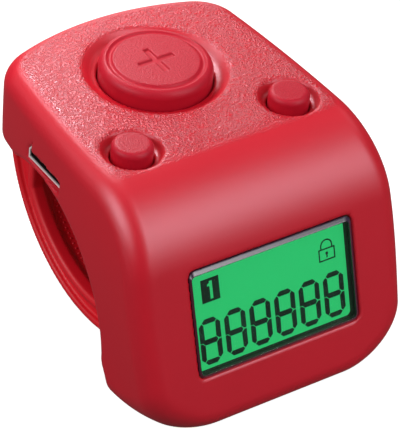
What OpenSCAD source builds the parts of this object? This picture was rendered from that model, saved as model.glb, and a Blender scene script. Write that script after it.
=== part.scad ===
// Finger tally counter: an inclined display, a large count key, two small keys,
// a charging port and a soft strap that closes the finger loop under the body.
// Millimetres. X runs across the body, -Y is the display side, Z = 0 is the resting plane.

/* [Body] */
// Widest width, beside the display
body_w = 36.1; // [34:0.1:37]
// How much narrower the roll above the display is
nose_taper = 1.7; // [1.2:0.1:2.4]
// How much narrower the back is
back_taper = 4.4; // [3:0.1:5]
// How much narrower the foot is
foot_taper = 0.8; // [0.4:0.1:1.6]
// How far the long sides bow outwards at the charging port
side_bow = 0.4; // [0.2:0.05:0.5]
// Depth from the foot to the back edge
body_d = 43.4; // [42:0.1:46]
// Height of the flat top above the resting plane
body_h = 27.6; // [27:0.1:29]
// Lean of the display face away from upright, in degrees
face_tilt = 18; // [15:0.5:20]
// Radius of the roll between the top and the display face
nose_r = 11.4; // [10.5:0.1:12]
// Rounding of the long upper edges
edge_r = 2.6; // [1.4:0.1:2.8]
// Rounding of the two back corners, seen from above
corner_r = 5.2; // [4.5:0.1:6.2]
// Radius of the bowed back edge, seen from above
back_bow_r = 34.5; // [32:0.5:60]
// Rounding of the foot's edges
foot_r = 2.4; // [1.6:0.1:2.6]
// Rounding of the foot's rear edge
heel_r = 2.6; // [2.4:0.1:3.4]
// Rounding of the foot's front corners, seen from the display side
foot_corner_r = 8.8; // [7:0.1:9]
// Rounding of the foot's rear corners, seen from behind
heel_corner_r = 3.6; // [3.4:0.1:6]
// Height of the back wall's lower edge
back_edge_z = 18; // [17.4:0.1:18.2]
// Wall of the moulded shell
wall = 1.6; // [1.3:0.05:1.8]

/* [Finger loop] */
// Radius of the arch moulded under the body
arch_r = 14.9; // [14.4:0.1:15.3]
// Height of the arch's crown
arch_top_z = 19.9; // [19.5:0.05:20]
// Distance of the arch's axis from the back edge
arch_from_back = 16.6; // [16.2:0.1:16.8]
// Plate of the base cover
cover_t = 0.9; // [0.7:0.05:0.95]
// Outer radius of the strap
strap_r = 17.95; // [17:0.05:18.2]
// Thickness of the strap at its rims
strap_t = 3.65; // [3:0.05:3.8]
// Width of each side of the body beside the strap
strap_inset = 5.9; // [5.6:0.05:8]
// Distance of the strap's axis from the back edge
strap_from_back = 19.5; // [19.1:0.1:19.8]
// Thickness of the strap at its root under the back edge
strap_root_t = 5.75; // [5:0.05:6]
// Thickness of the strap's thin middle
strap_web_t = 2.65; // [2:0.05:2.8]
// Width of each raised rim of the strap
strap_rim_w = 1.8; // [1.2:0.1:2.6]

/* [Display] */
// Width of the face beside the window lens
lens_margin = 7.05; // [6.8:0.05:8]
// Height of the window lens
lens_h = 13.1; // [12:0.1:13.6]
// Height of the window's centre above the resting plane
lens_z = 13.15; // [12.8:0.05:13.5]
// Corner radius of the window lens
lens_corner_r = 0.8; // [0.4:0.1:1.5]
// Height that the lens stands out of the face
lens_proud = 0.25; // [0.1:0.05:0.5]
// Thickness of the liquid crystal cell
cell_t = 1.9; // [1.6:0.1:2]
// Thickness of the light guide behind the cell
guide_t = 1.2; // [1:0.1:1.3]

/* [Count key] */
// Radius of the cap
count_r = 6.65; // [6:0.05:7]
// Height of the cap above the flat top
count_rise = 1.3; // [1:0.1:1.6]
// Radius of the dish round the cap
count_dish_r = 8.4; // [7.8:0.1:8.8]
// Distance of the key's axis from the back edge
count_from_back = 13.4; // [13:0.1:13.6]
// Travel of the key
count_travel = 0.6; // [0.4:0.05:0.7]
// Radius of the round groove in the cap
count_groove_r = 5.4; // [5:0.1:5.6]

/* [Small keys] */
// Radius of each cap
small_r = 2.4; // [2:0.05:2.6]
// Height of each cap above the flat top
small_rise = 0.9; // [0.6:0.1:1.2]
// Radius of the dish round each cap
small_dish_r = 3.4; // [3.1:0.05:3.6]
// Distance of each key's axis from the side of the roll
small_inset = 6.6; // [6.4:0.1:7.2]
// Distance of the keys in front of the count key
small_ahead = 11.6; // [11.2:0.1:12]
// Travel of each key
small_travel = 0.35; // [0.25:0.05:0.4]

/* [Charging port] */
// Width of the socket's metal shell
port_w = 7.5; // [7.3:0.05:7.6]
// Height of the socket's metal shell
port_h = 2.4; // [2.3:0.05:2.5]
// Depth of the socket's metal shell
port_d = 5; // [4.6:0.1:5.4]
// Distance of the socket's centre from the back edge
port_from_back = 16.8; // [16.6:0.1:17]
// How far the recess runs on behind the socket
port_tail = 2.6; // [2:0.1:3]
// Depth of the recess in the side wall
port_recess_d = 0.45; // [0.35:0.05:0.6]

/* [Boards and battery] */
// Thickness of both circuit boards
board_t = 0.8; // [0.6:0.05:1]
// Height of the main board's lower face
board_z = 22.3; // [22.1:0.05:22.4]
// Distance of the main board from the outside of the back's two sides
board_margin = 2.1; // [2.05:0.05:3]
// Distance of the display board from the sides of the roll
display_board_margin = 4.2; // [3.9:0.1:4.7]
// Thickness of the battery cell
battery_t = 2.6; // [2:0.1:2.7]
// How much narrower the battery cell is than its board
battery_margin = 6; // [4:0.5:10]
// Length of the battery cell along the display
battery_l = 10.5; // [9:0.5:11]

/* [Fits] */
// Clearance round a key in its hole
key_gap = 0.15; // [0.1:0.01:0.2]
// Clearance between parts that are fitted by hand
fit_gap = 0.15; // [0.1:0.01:0.2]
// Slack above a key's flange
stop_gap = 0.05; // [0.02:0.01:0.08]

/* [Hidden] */

// Overrun of every cut
over = 1;
// Thin gap between pieces that rest on each other
seat = 0.02;
// Facets of the moulded outer form
form_fn = 40;
// Facets of true round features
round_fn = 64;

// Body derived
nose_w = body_w - nose_taper;
back_w = body_w - back_taper;
foot_w = body_w - foot_taper;
strap_w = body_w - 2 * strap_inset;
lens_w = body_w - 2 * lens_margin;
small_pitch = nose_w - 2 * small_inset;
board_w = back_w - 2 * board_margin;
display_board_w = nose_w - 2 * display_board_margin;
battery_w = display_board_w - battery_margin;
back_y = body_d / 2;
foot_y = -body_d / 2 + foot_r;
foot_v = ((foot_corner_r - foot_r) * cos(face_tilt) + foot_r * (1 + sin(face_tilt)) - lens_z)
    / cos(face_tilt);
nose_z = body_h - nose_r;
nose_y = foot_y + ((nose_r - foot_r) + (nose_z - foot_r) * sin(face_tilt)) / cos(face_tilt);
bow_y = back_y - back_bow_r;
bow_angle = asin((back_w / 2 - corner_r) / (back_bow_r - corner_r));
corner_y = bow_y + (back_bow_r - corner_r) * cos(bow_angle);
back_round = 1.2;
cheek_r = 3;
cheek_v = 4.5;
heel_l = 7;

// Hollow of the shell
inner_corner_r = corner_r - wall;
flare = (nose_w - back_w) / 2 / (corner_y - nose_y);
inner_nose_r = nose_r - wall;
foot_ledge_z = 2.4;
foot_open_half = foot_w / 2 - foot_corner_r - fit_gap;
foot_open_y = foot_y + wall / 2;

// Arch, base cover and strap
arch_y = back_y - arch_from_back;
arch_z = arch_top_z - arch_r;
heel_y = arch_y - sqrt(arch_r * arch_r - (arch_z - heel_r) * (arch_z - heel_r));
cover_r = arch_r + cover_t;
foot_floor_t = 1.2;
hook_x = 6;
hook_w = 4;
hook_reach = 0.8;
hook_t = 0.75;
strap_y = back_y - strap_from_back;
strap_z = strap_r;
strap_in_r = strap_r - strap_t;
strap_clear = 0.1;
strap_root_y = strap_y + strap_r - strap_root_t;
panel_start_y = strap_y - strap_r / 2;
strap_channel = 0.7;
strap_lip = 1;
neck_w = 16;
neck_t = 2;
neck_gap = 0.2;
anchor_t = 1.3;
anchor_h = 3.8;
neck_setback = 2.3;
back_neck_y = strap_root_y + neck_setback;
leg_neck_z = 6;
leg_face_y = arch_y - cover_r;

// Display
lens_y = face_y(lens_z);
lens_gap = 0.08;
lens_flange = 0.6;
lens_flange_t = 0.5;
lens_bevel = 0.5;
lens_back = wall + lens_flange_t;
cell_margin = 0.2;
cell_ledge = 1.4;
cell_w = lens_w + 2 * lens_flange;
cell_h = lens_h + 2 * cell_margin;
cell_front = lens_back + seat;
cell_back = cell_front + cell_t;
guide_margin = 1.2;
guide_w = cell_w - 2 * guide_margin;
guide_h = cell_h - guide_margin - cell_ledge;
guide_front = cell_back + seat;
guide_back = guide_front + guide_t;
led_size = [0.9, 2.2, 0.9];
contact_h = 1.1;
frame_wall = 0.9;
frame_w = cell_w + 2 * (frame_wall + fit_gap);
frame_h = cell_h + 2 * (frame_wall + fit_gap);
board_inset = 0.1;
display_board_h = frame_h - 2 * board_inset;
display_board_front = guide_back + seat;
display_board_back = display_board_front + board_t;
stop_w = (nose_w - display_board_w) / 2;
stop_h = 8;
stop_t = 1.1;

// Battery
tape_t = 0.15;
battery_v = 3.1;
battery_front = display_board_back + seat + tape_t;
battery_back = battery_front + battery_t;
battery_tab = 1;
lead_r = 0.35;
lead_x = 7.4;
lead_pitch = 1.2;

// Keys and switches
count_y = back_y - count_from_back;
small_y = count_y - small_ahead;
small_x = small_pitch / 2;
dish_depth = 1;
dish_land = 0.4;
floor_t = 1.1;
key_floor_z = body_h - dish_depth;
key_stop_z = key_floor_z - floor_t;
key_flange = 1.1;
count_flange_t = 0.8;
small_flange_t = 0.6;
cap_round = 0.7;
count_cap_t = 1.3;
count_post_r = 1.7;
groove_w = 0.4;
groove_d = 0.25;
mark_w = 0.6;
mark_l = 4.2;
board_top = board_z + board_t;
count_switch_w = 6;
count_switch_h = 1.5;
count_plunger_r = 1.3;
count_plunger_rise = 0.7;
small_switch_w = 4;
small_switch_h = 0.95;
small_plunger_r = 0.9;
plunger_gap = 0.1;
switch_floor_t = 0.15;
pad_l = 0.5;
pad_w = 0.7;
pad_t = 0.2;

// Port
port_y = back_y - port_from_back;
port_floor = 0.7;
port_z = arch_top_z + port_floor;
port_mouth_x = side_half(port_y) + side_bow - port_recess_d;
port_rim = 0.12;
port_hood = 0.7;
port_rim_r = 0.8;
port_taper = 1;
port_top_w = port_w - 2 * port_taper;
port_side_share = 0.52;
port_side_h = port_h * port_side_share;
port_sheet = 0.25;
port_slot_gap = 0.08;
port_wing = 0.9;
port_wing_root = 0.5;
tongue_w = 3.7;
tongue_t = 0.6;
tongue_set_back = 0.7;
tongue_block = 1.3;

// Main board
main_front_y = small_y - small_switch_w;
main_setback = 2.9;
main_back_y = back_y - main_setback;
main_corner_r = 3;
ribbon_t = 0.2;
ribbon_w = 10;
ribbon_z = board_z - ribbon_t / 2;
ribbon_start = [
    lens_y + display_board_h / 2 * sin(face_tilt) + (display_board_front + board_t / 2) * cos(face_tilt),
    lens_z + display_board_h / 2 * cos(face_tilt) - (display_board_front + board_t / 2) * sin(face_tilt)
];
ribbon_r = (ribbon_z - ribbon_start[1]) / (1 - sin(face_tilt));
blob_r = 3.2;
blob_h = 0.9;
charger_size = [3, 1.6, 1];
chip_size = [1, 0.5, 0.5];
chip_pitch = 2.4;
chip_row_offset = 5;

// Screws
cover_screw_x = 11.6;
cover_screw_setback = 9.5;
cover_screw_y = back_y - cover_screw_setback;
cover_boss_r = 1.8;
cover_pad_r = 2.5;
cover_screw_r = 0.85;
cover_head_r = 1.5;
cover_head_t = 0.9;
cover_seat_z = arch_top_z;
cover_pad_t = 0.9;
cover_screw_l = 5;
board_boss_r = 1.5;
board_screw_r = 0.7;
board_head_r = 1.3;
board_head_t = 0.7;
board_screw_l = 2.8;
screw_gap = 0.05;
front_screw_offset = 0.7;
rear_screw_x = 7;
rear_screw_setback = 4.4;
BOARD_SCREWS = [
    [0, small_y + front_screw_offset],
    [-rear_screw_x, back_y - rear_screw_setback],
    [rear_screw_x, back_y - rear_screw_setback]
];

function face_y(z) = foot_y - foot_r / cos(face_tilt) + (z - foot_r) * tan(face_tilt);
function side_half(y) = back_w / 2 + (corner_y - y) * flare;

// Puts its children on the display face: X across, Y up the face, Z out of it
module at_face() {
    translate([0, lens_y, lens_z]) rotate([90 - face_tilt, 0, 0]) children();
}

// Runs a profile drawn in Y and Z across the body
module across(width) {
    translate([-width / 2, 0, 0]) rotate([90, 0, 90]) linear_extrude(width) children();
}

module both_sides() {
    children();
    mirror([1, 0, 0]) children();
}

module round_rect(w, h, r) {
    square([w - 2 * r, h], center = true);
    square([w, h - 2 * r], center = true);
    for (sx = [-1, 1], sy = [-1, 1]) {
        translate([sx * (w / 2 - r), sy * (h / 2 - r)]) circle(r, $fn = round_fn / 2);
    }
}

module round_plate(w, h, r, t) {
    linear_extrude(t) round_rect(w, h, r);
}

module box_at(center_x, center_y, z, w, d, h) {
    translate([center_x - w / 2, center_y - d / 2, z]) cube([w, d, h]);
}

// Disc with a rounded rim, its axis along Z and its faces at z = 0 and z = t
module soft_disc(r, rim, t) {
    rotate_extrude($fn = form_fn) intersection() {
        square([r, t]);
        union() {
            square([r - rim, t]);
            translate([r - rim, rim]) circle(rim, $fn = form_fn);
            translate([0, rim]) square([r, max(t - 2 * rim, rim / 8)]);
            translate([r - rim, t - rim]) circle(rim, $fn = form_fn);
        }
    }
}

// Straight round bar between two points
module bar(p, q, r) {
    d = q - p;
    translate(p) rotate([0, acos(d[2] / norm(d)), atan2(d[1], d[0])])
        cylinder(norm(d), r = r, $fn = round_fn / 4);
}

module rounded_form() {
    hull() {
        // roll between the top and the display face
        both_sides() translate([nose_w / 2, nose_y, nose_z]) rotate([0, -90, 0])
            soft_disc(nose_r, edge_r, 2 * edge_r);
        // bowed back edge with its round corners
        for (a = [-bow_angle, -bow_angle / 2, 0, bow_angle / 2, bow_angle]) {
            translate([(back_bow_r - corner_r) * sin(a), bow_y + (back_bow_r - corner_r) * cos(a), 0]) {
                translate([0, 0, body_h - 2 * edge_r]) soft_disc(corner_r, edge_r, 2 * edge_r);
                translate([0, 0, back_edge_z]) soft_disc(corner_r, back_round, 2 * back_round);
            }
        }
        // bowed sides
        both_sides() translate([side_half(port_y) + side_bow - corner_r, port_y, 0]) {
            translate([0, 0, body_h - 2 * edge_r]) soft_disc(corner_r, edge_r, 2 * edge_r);
            translate([0, 0, back_edge_z]) soft_disc(corner_r, back_round, 2 * back_round);
        }
        // cheeks beside the display, where the body is widest
        both_sides() at_face() translate([body_w / 2 - cheek_r, cheek_v, -2 * foot_r])
            soft_disc(cheek_r, foot_r, 2 * foot_r);
        // foot with its large front corners
        both_sides() at_face() translate([foot_w / 2 - foot_corner_r, foot_v, -2 * foot_r])
            soft_disc(foot_corner_r, foot_r, 2 * foot_r);
        // heel of the foot
        both_sides() translate([foot_w / 2 - heel_corner_r, heel_y, heel_corner_r])
            rotate([90, 0, 0]) soft_disc(heel_corner_r, heel_r, heel_l);
    }
}

// The form with its display face dressed flat
module outer_form() {
    difference() {
        rounded_form();
        at_face() translate([-body_w, -body_w, -seat]) cube([2 * body_w, 2 * body_w, over]);
    }
}

module arch_cut(r) {
    translate([0, arch_y, arch_z]) rotate([0, 90, 0])
        cylinder(body_w + 2 * over, r = r, center = true, $fn = round_fn);
}

// Side view of the hollow inside the shell
module cavity_profile() {
    face_in = wall / cos(face_tilt);
    translate([nose_y, nose_z]) circle(inner_nose_r, $fn = round_fn);
    polygon([
        [nose_y, body_h - wall],
        [nose_y - inner_nose_r * cos(face_tilt), nose_z + inner_nose_r * sin(face_tilt)],
        [face_y(foot_ledge_z) + face_in, foot_ledge_z],
        [back_y - wall, foot_ledge_z],
        [back_y - wall, body_h - wall]
    ]);
}

// Plan of the hollow inside the shell, drawn in by a gap
module cavity_plan(gap) {
    front = side_half(-back_y) - wall - gap;
    side = side_half(corner_y) - wall - gap;
    r = inner_corner_r - gap;
    intersection() {
        translate([0, bow_y]) circle(back_bow_r - wall - gap, $fn = 2 * round_fn);
        union() {
            polygon([
                [-front, -back_y], [front, -back_y],
                [side, corner_y], [side - r, corner_y + r], [side - r, back_y],
                [r - side, back_y], [r - side, corner_y + r], [-side, corner_y]
            ]);
            both_sides() translate([side - r, corner_y]) circle(r, $fn = round_fn);
        }
    }
}

// Front view of the hollow inside the shell with the foot's round corners, drawn in by a gap
module cavity_front(gap) {
    half = foot_w / 2 - wall - gap;
    at_face() translate([0, 0, -body_d]) linear_extrude(2 * body_d) hull() {
        both_sides() translate([foot_w / 2 - foot_corner_r, foot_v])
            circle(foot_corner_r - wall - gap, $fn = round_fn);
        translate([-half, foot_v]) square([2 * half, 2 * body_h]);
    }
}

module cavity() {
    intersection() {
        across(body_w) cavity_profile();
        linear_extrude(body_h) cavity_plan(0);
        cavity_front(0);
    }
    // opening in the bottom of the foot
    translate([-foot_open_half, foot_open_y, -over])
        cube([2 * foot_open_half, back_y - foot_open_y, foot_ledge_z + 2 * over]);
}

// Shallow dish round a key, with its hole
module key_seat(x, y, cap_r, dish_r) {
    bore = cap_r + key_gap;
    translate([x, y, key_floor_z]) {
        cylinder(dish_depth, r1 = bore + dish_land, r2 = dish_r, $fn = round_fn);
        translate([0, 0, dish_depth]) cylinder(over, r = dish_r, $fn = round_fn);
        translate([0, 0, -floor_t - over]) cylinder(floor_t + 2 * over, r = bore, $fn = round_fn);
    }
}

module shell_bosses() {
    root = wall / 2;
    difference() {
        union() {
            // floors under the dishes
            translate([0, count_y, key_stop_z])
                cylinder(body_h - wall - key_stop_z + root, r = count_dish_r + root, $fn = round_fn);
            both_sides() translate([small_x, small_y, key_stop_z])
                cylinder(body_h - wall - key_stop_z + root, r = small_dish_r + root, $fn = round_fn);
            // bosses for the base cover
            both_sides() translate([cover_screw_x, cover_screw_y, cover_seat_z + cover_pad_t + seat])
                cylinder(body_h - wall + root - cover_seat_z - cover_pad_t - seat, r = cover_boss_r, $fn = round_fn);
            // bosses for the main board
            for (p = BOARD_SCREWS) translate([p[0], p[1], board_top + seat])
                cylinder(body_h - wall + root - board_top - seat, r = board_boss_r, $fn = round_fn);
            // stops behind the display board
            both_sides() at_face() translate([display_board_w / 2 - root, -stop_h / 2, -display_board_back - seat - stop_t])
                cube([stop_w, stop_h, stop_t]);
        }
        both_sides() translate([cover_screw_x, cover_screw_y, cover_seat_z])
            cylinder(cover_screw_l, r = cover_screw_r + screw_gap, $fn = round_fn / 2);
        for (p = BOARD_SCREWS) translate([p[0], p[1], board_z])
            cylinder(board_screw_l, r = board_screw_r + screw_gap, $fn = round_fn / 2);
    }
}

// Oblong recess before the socket, longer at its rear end and low enough to leave a hood over
// the socket's upper edge, and the slot in its floor
module port_recess() {
    recess_w = port_w + 2 * port_rim + port_tail;
    recess_h = port_h + port_rim - port_hood;
    translate([-port_mouth_x, port_y + port_tail / 2, port_z - port_rim + recess_h / 2]) rotate([90, 0, -90])
        round_plate(recess_w, recess_h, port_rim_r, port_recess_d + 2 * over);
    port_frame() translate([0, 0, -wall - over]) linear_extrude(wall + over + seat) port_outline(-port_slot_gap);
}

module top_shell() {
    color([0.72, 0.1, 0.16]) difference() {
        union() {
            difference() {
                outer_form();
                cavity();
            }
            shell_bosses();
        }
        arch_cut(arch_r);
        // flat underside behind the arch
        translate([-body_w / 2 - over, arch_y, -over])
            cube([body_w + 2 * over, back_y, back_edge_z + over]);
        key_seat(0, count_y, count_r, count_dish_r);
        both_sides() key_seat(small_x, small_y, small_r, small_dish_r);
        at_face() translate([0, 0, -wall - over])
            round_plate(lens_w + 2 * lens_gap, lens_h + 2 * lens_gap, lens_corner_r + lens_gap, wall + 2 * over);
        port_recess();
    }
}

// Side view of the base cover: leg plate, arch and the flat behind it
module cover_profile() {
    heel_round = heel_y - heel_r;
    intersection() {
        difference() {
            union() {
                translate([arch_y, arch_z]) circle(cover_r, $fn = round_fn);
                translate([arch_y, back_edge_z]) square([back_y - arch_y, cover_t]);
                translate([foot_open_y + fit_gap, 0]) square([arch_y - foot_open_y, foot_floor_t]);
                // rounded heel
                intersection() {
                    translate([heel_round, 0]) square(heel_r);
                    translate([heel_round, heel_r]) difference() {
                        circle(heel_r, $fn = round_fn);
                        circle(heel_r - foot_floor_t, $fn = round_fn);
                    }
                }
            }
            translate([arch_y, arch_z]) circle(arch_r, $fn = round_fn);
        }
        union() {
            translate([-back_y, heel_r]) square([arch_y + back_y, body_h]);
            translate([arch_y - over, back_edge_z]) square([back_y, body_h]);
            translate([-back_y, 0]) square([back_y + heel_round, heel_r + over]);
            translate([heel_round, heel_r]) circle(heel_r, $fn = round_fn);
        }
    }
}

module base_cover() {
    ledge = foot_ledge_z + fit_gap;
    color([0.66, 0.09, 0.14]) difference() {
        union() {
            intersection() {
                across(body_w) cover_profile();
                union() {
                    intersection() {
                        translate([0, 0, ledge]) linear_extrude(body_h) cavity_plan(fit_gap);
                        cavity_front(fit_gap);
                    }
                    translate([-foot_open_half + fit_gap, -back_y, 0])
                        cube([2 * (foot_open_half - fit_gap), 2 * back_y, ledge + over]);
                }
            }
            // pads for the screws
            difference() {
                both_sides() translate([cover_screw_x, cover_screw_y, back_edge_z])
                    cylinder(cover_seat_z + cover_pad_t - back_edge_z, r = cover_pad_r, $fn = round_fn);
                arch_cut(arch_r);
            }
            // hooks that slip over the ledge in the front of the foot
            both_sides() translate([hook_x - hook_w / 2, foot_open_y + fit_gap, 0]) {
                cube([hook_w, 2 * hook_t, foot_ledge_z + fit_gap + hook_t]);
                translate([0, -fit_gap - hook_reach, foot_ledge_z + fit_gap])
                    cube([hook_w, hook_reach + fit_gap + hook_t, hook_t]);
            }
        }
        both_sides() translate([cover_screw_x, cover_screw_y, 0]) {
            cylinder(cover_seat_z, r = cover_head_r + screw_gap, $fn = round_fn / 2);
            cylinder(body_h, r = cover_screw_r + screw_gap, $fn = round_fn / 2);
        }
        // pocket under the charging socket
        translate([-body_w, port_y - port_w / 2 - port_slot_gap, port_z - seat])
            cube([body_w - port_mouth_x + port_d + port_slot_gap, port_w + 2 * port_slot_gap, cover_t]);
        // slots for the necks of the strap
        translate([-neck_w / 2 - neck_gap, back_neck_y - neck_t / 2 - neck_gap, back_edge_z - over])
            cube([neck_w + 2 * neck_gap, neck_t + 2 * neck_gap, cover_t + 2 * over]);
        translate([-neck_w / 2 - neck_gap, leg_face_y - over, leg_neck_z - neck_t / 2 - neck_gap])
            cube([neck_w + 2 * neck_gap, cover_t + 3 * over, neck_t + 2 * neck_gap]);
    }
}

// Side view of the strap between its outer radius and its inner edge, drawn in by a margin
module strap_profile(margin) {
    difference() {
        intersection() {
            translate([strap_y, strap_z]) circle(strap_r - margin, $fn = 2 * round_fn);
            union() {
                translate([arch_y, arch_z]) circle(arch_r - strap_clear, $fn = 2 * round_fn);
                translate([arch_y, -over]) square([back_y, back_edge_z - strap_clear + over]);
            }
        }
        difference() {
            translate([strap_y, strap_z]) circle(strap_in_r + margin, $fn = 2 * round_fn);
            translate([strap_root_y + margin, -over]) square([strap_t + strap_root_t, back_edge_z + over]);
        }
        translate([-back_y, back_edge_z - strap_clear]) square(2 * back_y);
    }
}

module strap() {
    anchor_z = back_edge_z + cover_t + strap_clear;
    anchor_y = leg_face_y - strap_clear - anchor_t;
    color([0.62, 0.11, 0.15]) union() {
        difference() {
            across(strap_w) strap_profile(0);
            // grooves along both edges
            both_sides() translate([strap_w / 2 - strap_channel, 0, 0]) rotate([90, 0, 90])
                linear_extrude(strap_channel + over) strap_profile(strap_lip);
            // thin middle between the raised rims
            across(strap_w - 2 * strap_rim_w) intersection() {
                translate([strap_y, strap_z]) circle(strap_r - strap_web_t, $fn = 2 * round_fn);
                translate([panel_start_y, 0])
                    square([strap_root_y + strap_t - strap_web_t - panel_start_y, back_edge_z - strap_lip]);
            }
        }
        // neck and anchor behind the back edge
        box_at(0, back_neck_y, back_edge_z - strap_lip, neck_w, neck_t, anchor_z - back_edge_z + strap_lip);
        box_at(0, back_neck_y, anchor_z, neck_w, anchor_h, anchor_t);
        // neck and anchor inside the leg
        translate([-neck_w / 2, leg_face_y - strap_clear, leg_neck_z - neck_t / 2])
            cube([neck_w, cover_t + strap_lip, neck_t]);
        translate([-neck_w / 2, anchor_y, leg_neck_z - anchor_h / 2]) cube([neck_w, anchor_t, anchor_h]);
    }
}

module display_lens() {
    color([0.85, 0.92, 0.95, 0.4]) at_face() {
        hull() {
            translate([0, 0, lens_proud - seat])
                round_plate(lens_w - 2 * lens_bevel, lens_h - 2 * lens_bevel, lens_corner_r, seat);
            translate([0, 0, -wall])
                round_plate(lens_w, lens_h, lens_corner_r, wall + lens_proud - lens_bevel);
        }
        translate([0, 0, -lens_back])
            round_plate(lens_w + 2 * lens_flange, lens_h + 2 * lens_flange, lens_corner_r, lens_flange_t);
    }
}

module lcd_cell() {
    color([0.2, 0.78, 0.45]) at_face() {
        translate([0, cell_ledge / 2, -cell_front - cell_t / 2])
            round_plate(cell_w, cell_h - cell_ledge, fit_gap, cell_t / 2);
        translate([0, 0, -cell_back]) round_plate(cell_w, cell_h, fit_gap, cell_t / 2);
    }
}

module lcd_frame() {
    color([0.92, 0.92, 0.9]) at_face() translate([0, 0, -guide_back]) difference() {
        round_plate(frame_w, frame_h, frame_wall, guide_back - cell_front);
        translate([0, 0, -over])
            round_plate(cell_w + 2 * fit_gap, cell_h + 2 * fit_gap, 2 * fit_gap, guide_back + over);
    }
}

module light_guide() {
    color([0.95, 0.98, 0.95, 0.8]) at_face()
        translate([0, (cell_h - guide_h) / 2 - fit_gap, -guide_back]) round_plate(guide_w, guide_h, fit_gap, guide_t);
}

module backlight_leds() {
    color([0.98, 0.95, 0.6]) at_face() for (v = [-1, 1]) {
        translate([guide_w / 2 + seat, v * guide_h / 4, -guide_back]) cube(led_size);
    }
}

module contact_strip() {
    color([0.85, 0.6, 0.65]) at_face() {
        translate([-guide_w / 2, -cell_h / 2, -guide_back])
            cube([guide_w, contact_h, guide_t + seat]);
    }
}

module display_board() {
    color([0.1, 0.4, 0.22]) at_face() translate([0, 0, -display_board_back])
        round_plate(display_board_w, display_board_h, frame_wall, board_t);
}

module battery_tape() {
    color([0.9, 0.85, 0.3]) at_face() translate([0, battery_v, -display_board_back - tape_t - seat / 2])
        round_plate(battery_w - 2 * battery_tab, battery_l - 2 * battery_tab, fit_gap, tape_t);
}

module battery_cell() {
    color([0.75, 0.76, 0.78]) at_face() {
        translate([0, battery_v, -battery_back])
            round_plate(battery_w, battery_l, battery_tab, battery_t);
        // sealed edge of the pouch with its tabs
        translate([-battery_w / 2 + battery_tab, battery_v, -battery_back + battery_t / 3])
            cube([battery_w - 2 * battery_tab, battery_l / 2 + battery_tab, battery_t / 3]);
    }
}

module battery_leads() {
    tab = battery_v + battery_l / 2 + battery_tab;
    depth = battery_back - battery_t / 2;
    start_y = lens_y + tab * sin(face_tilt) + depth * cos(face_tilt);
    start_z = lens_z + tab * cos(face_tilt) - depth * sin(face_tilt);
    color([0.8, 0.1, 0.1]) for (i = [0, 1]) {
        x = lead_x + i * lead_pitch;
        bend = [x, start_y, (start_z + board_z) / 2];
        bar([x, start_y, start_z + seat], bend, lead_r);
        translate(bend) sphere(lead_r, $fn = round_fn / 4);
        bar(bend, [x, main_front_y + 2 * lead_pitch, board_z - seat - lead_r / 2], lead_r / 2);
    }
}

module board_ribbon() {
    r = ribbon_r;
    color([0.85, 0.55, 0.15]) {
        translate([-ribbon_w / 2, ribbon_start[0] + r * cos(face_tilt), ribbon_start[1] - r * sin(face_tilt)])
            rotate([90, 0, 90]) rotate_ring(r - ribbon_t / 2, r + ribbon_t / 2, 90, 180 - face_tilt, ribbon_w);
        // soldered end under the main board
        box_at(0, ribbon_start[0] + r * cos(face_tilt) + ribbon_t * 2, board_z - ribbon_t, ribbon_w, ribbon_t * 4, ribbon_t);
    }
}

// Sector of a tube between two angles, drawn in X and Y and extruded along Z
module rotate_ring(r1, r2, a1, a2, t) {
    rotate([0, 0, a1]) rotate_extrude(angle = a2 - a1, $fn = round_fn) translate([r1, 0]) square([r2 - r1, t]);
}

module main_board() {
    notch_x = port_mouth_x - port_d - port_slot_gap;
    color([0.1, 0.42, 0.24]) translate([0, 0, board_z]) difference() {
        linear_extrude(board_t) difference() {
            intersection() {
                translate([0, (main_front_y + main_back_y) / 2])
                    round_rect(board_w, main_back_y - main_front_y, main_corner_r);
                cavity_plan(2 * fit_gap);
            }
            translate([-board_w, port_y - port_w / 2 - port_slot_gap])
                square([board_w - notch_x, port_w + 2 * port_slot_gap]);
            // open notches round the bosses for the base cover
            both_sides() translate([cover_screw_x, cover_screw_y]) {
                circle(cover_boss_r + fit_gap, $fn = round_fn);
                translate([0, -cover_boss_r - fit_gap]) square([board_w, 2 * (cover_boss_r + fit_gap)]);
            }
            for (p = BOARD_SCREWS) translate(p) circle(board_screw_r + screw_gap, $fn = round_fn / 2);
        }
    }
}

module controller_blob() {
    r = (blob_r * blob_r + blob_h * blob_h) / (2 * blob_h);
    color([0.08, 0.08, 0.09]) translate([small_pitch / 4, count_y, board_z - blob_h])
        rotate_extrude($fn = round_fn) intersection() {
            translate([0, r]) circle(r, $fn = 2 * round_fn);
            square([blob_r, blob_h]);
        }
}

module chip(x, y, size) {
    box_at(x, y, board_z - size[2], size[0], size[1], size[2]);
}

module charge_parts() {
    color([0.15, 0.15, 0.17]) {
        chip(-small_pitch / 4, count_y, charger_size);
        for (i = [0:3]) chip(i * chip_pitch - small_pitch / 3, count_y - chip_row_offset, chip_size);
        for (i = [0:2]) chip(i * chip_pitch - small_pitch / 3, count_y + chip_row_offset, chip_size);
    }
}

// Body of a tactile switch with its solder pads and the well for its plunger
module tact_switch(x, y, w, h, plunger_r) {
    color([0.2, 0.2, 0.22]) translate([x, y, board_top]) {
        difference() {
            round_plate(w, w, pad_t, h);
            translate([0, 0, switch_floor_t]) cylinder(h, r = plunger_r + plunger_gap, $fn = round_fn);
        }
        for (sx = [-1, 1], sy = [-1, 1]) {
            translate([sx * (w / 2 + pad_l / 2) - pad_l / 2, sy * w / 3 - pad_w / 2, 0]) cube([pad_l, pad_w, pad_t]);
        }
    }
}

module tact_plunger(x, y, top_z, bottom_z, r) {
    color([0.12, 0.12, 0.13]) translate([x, y, bottom_z]) cylinder(top_z - bottom_z, r = r, $fn = round_fn);
}

module count_switch() {
    tact_switch(0, count_y, count_switch_w, count_switch_h, count_plunger_r);
}

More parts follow.
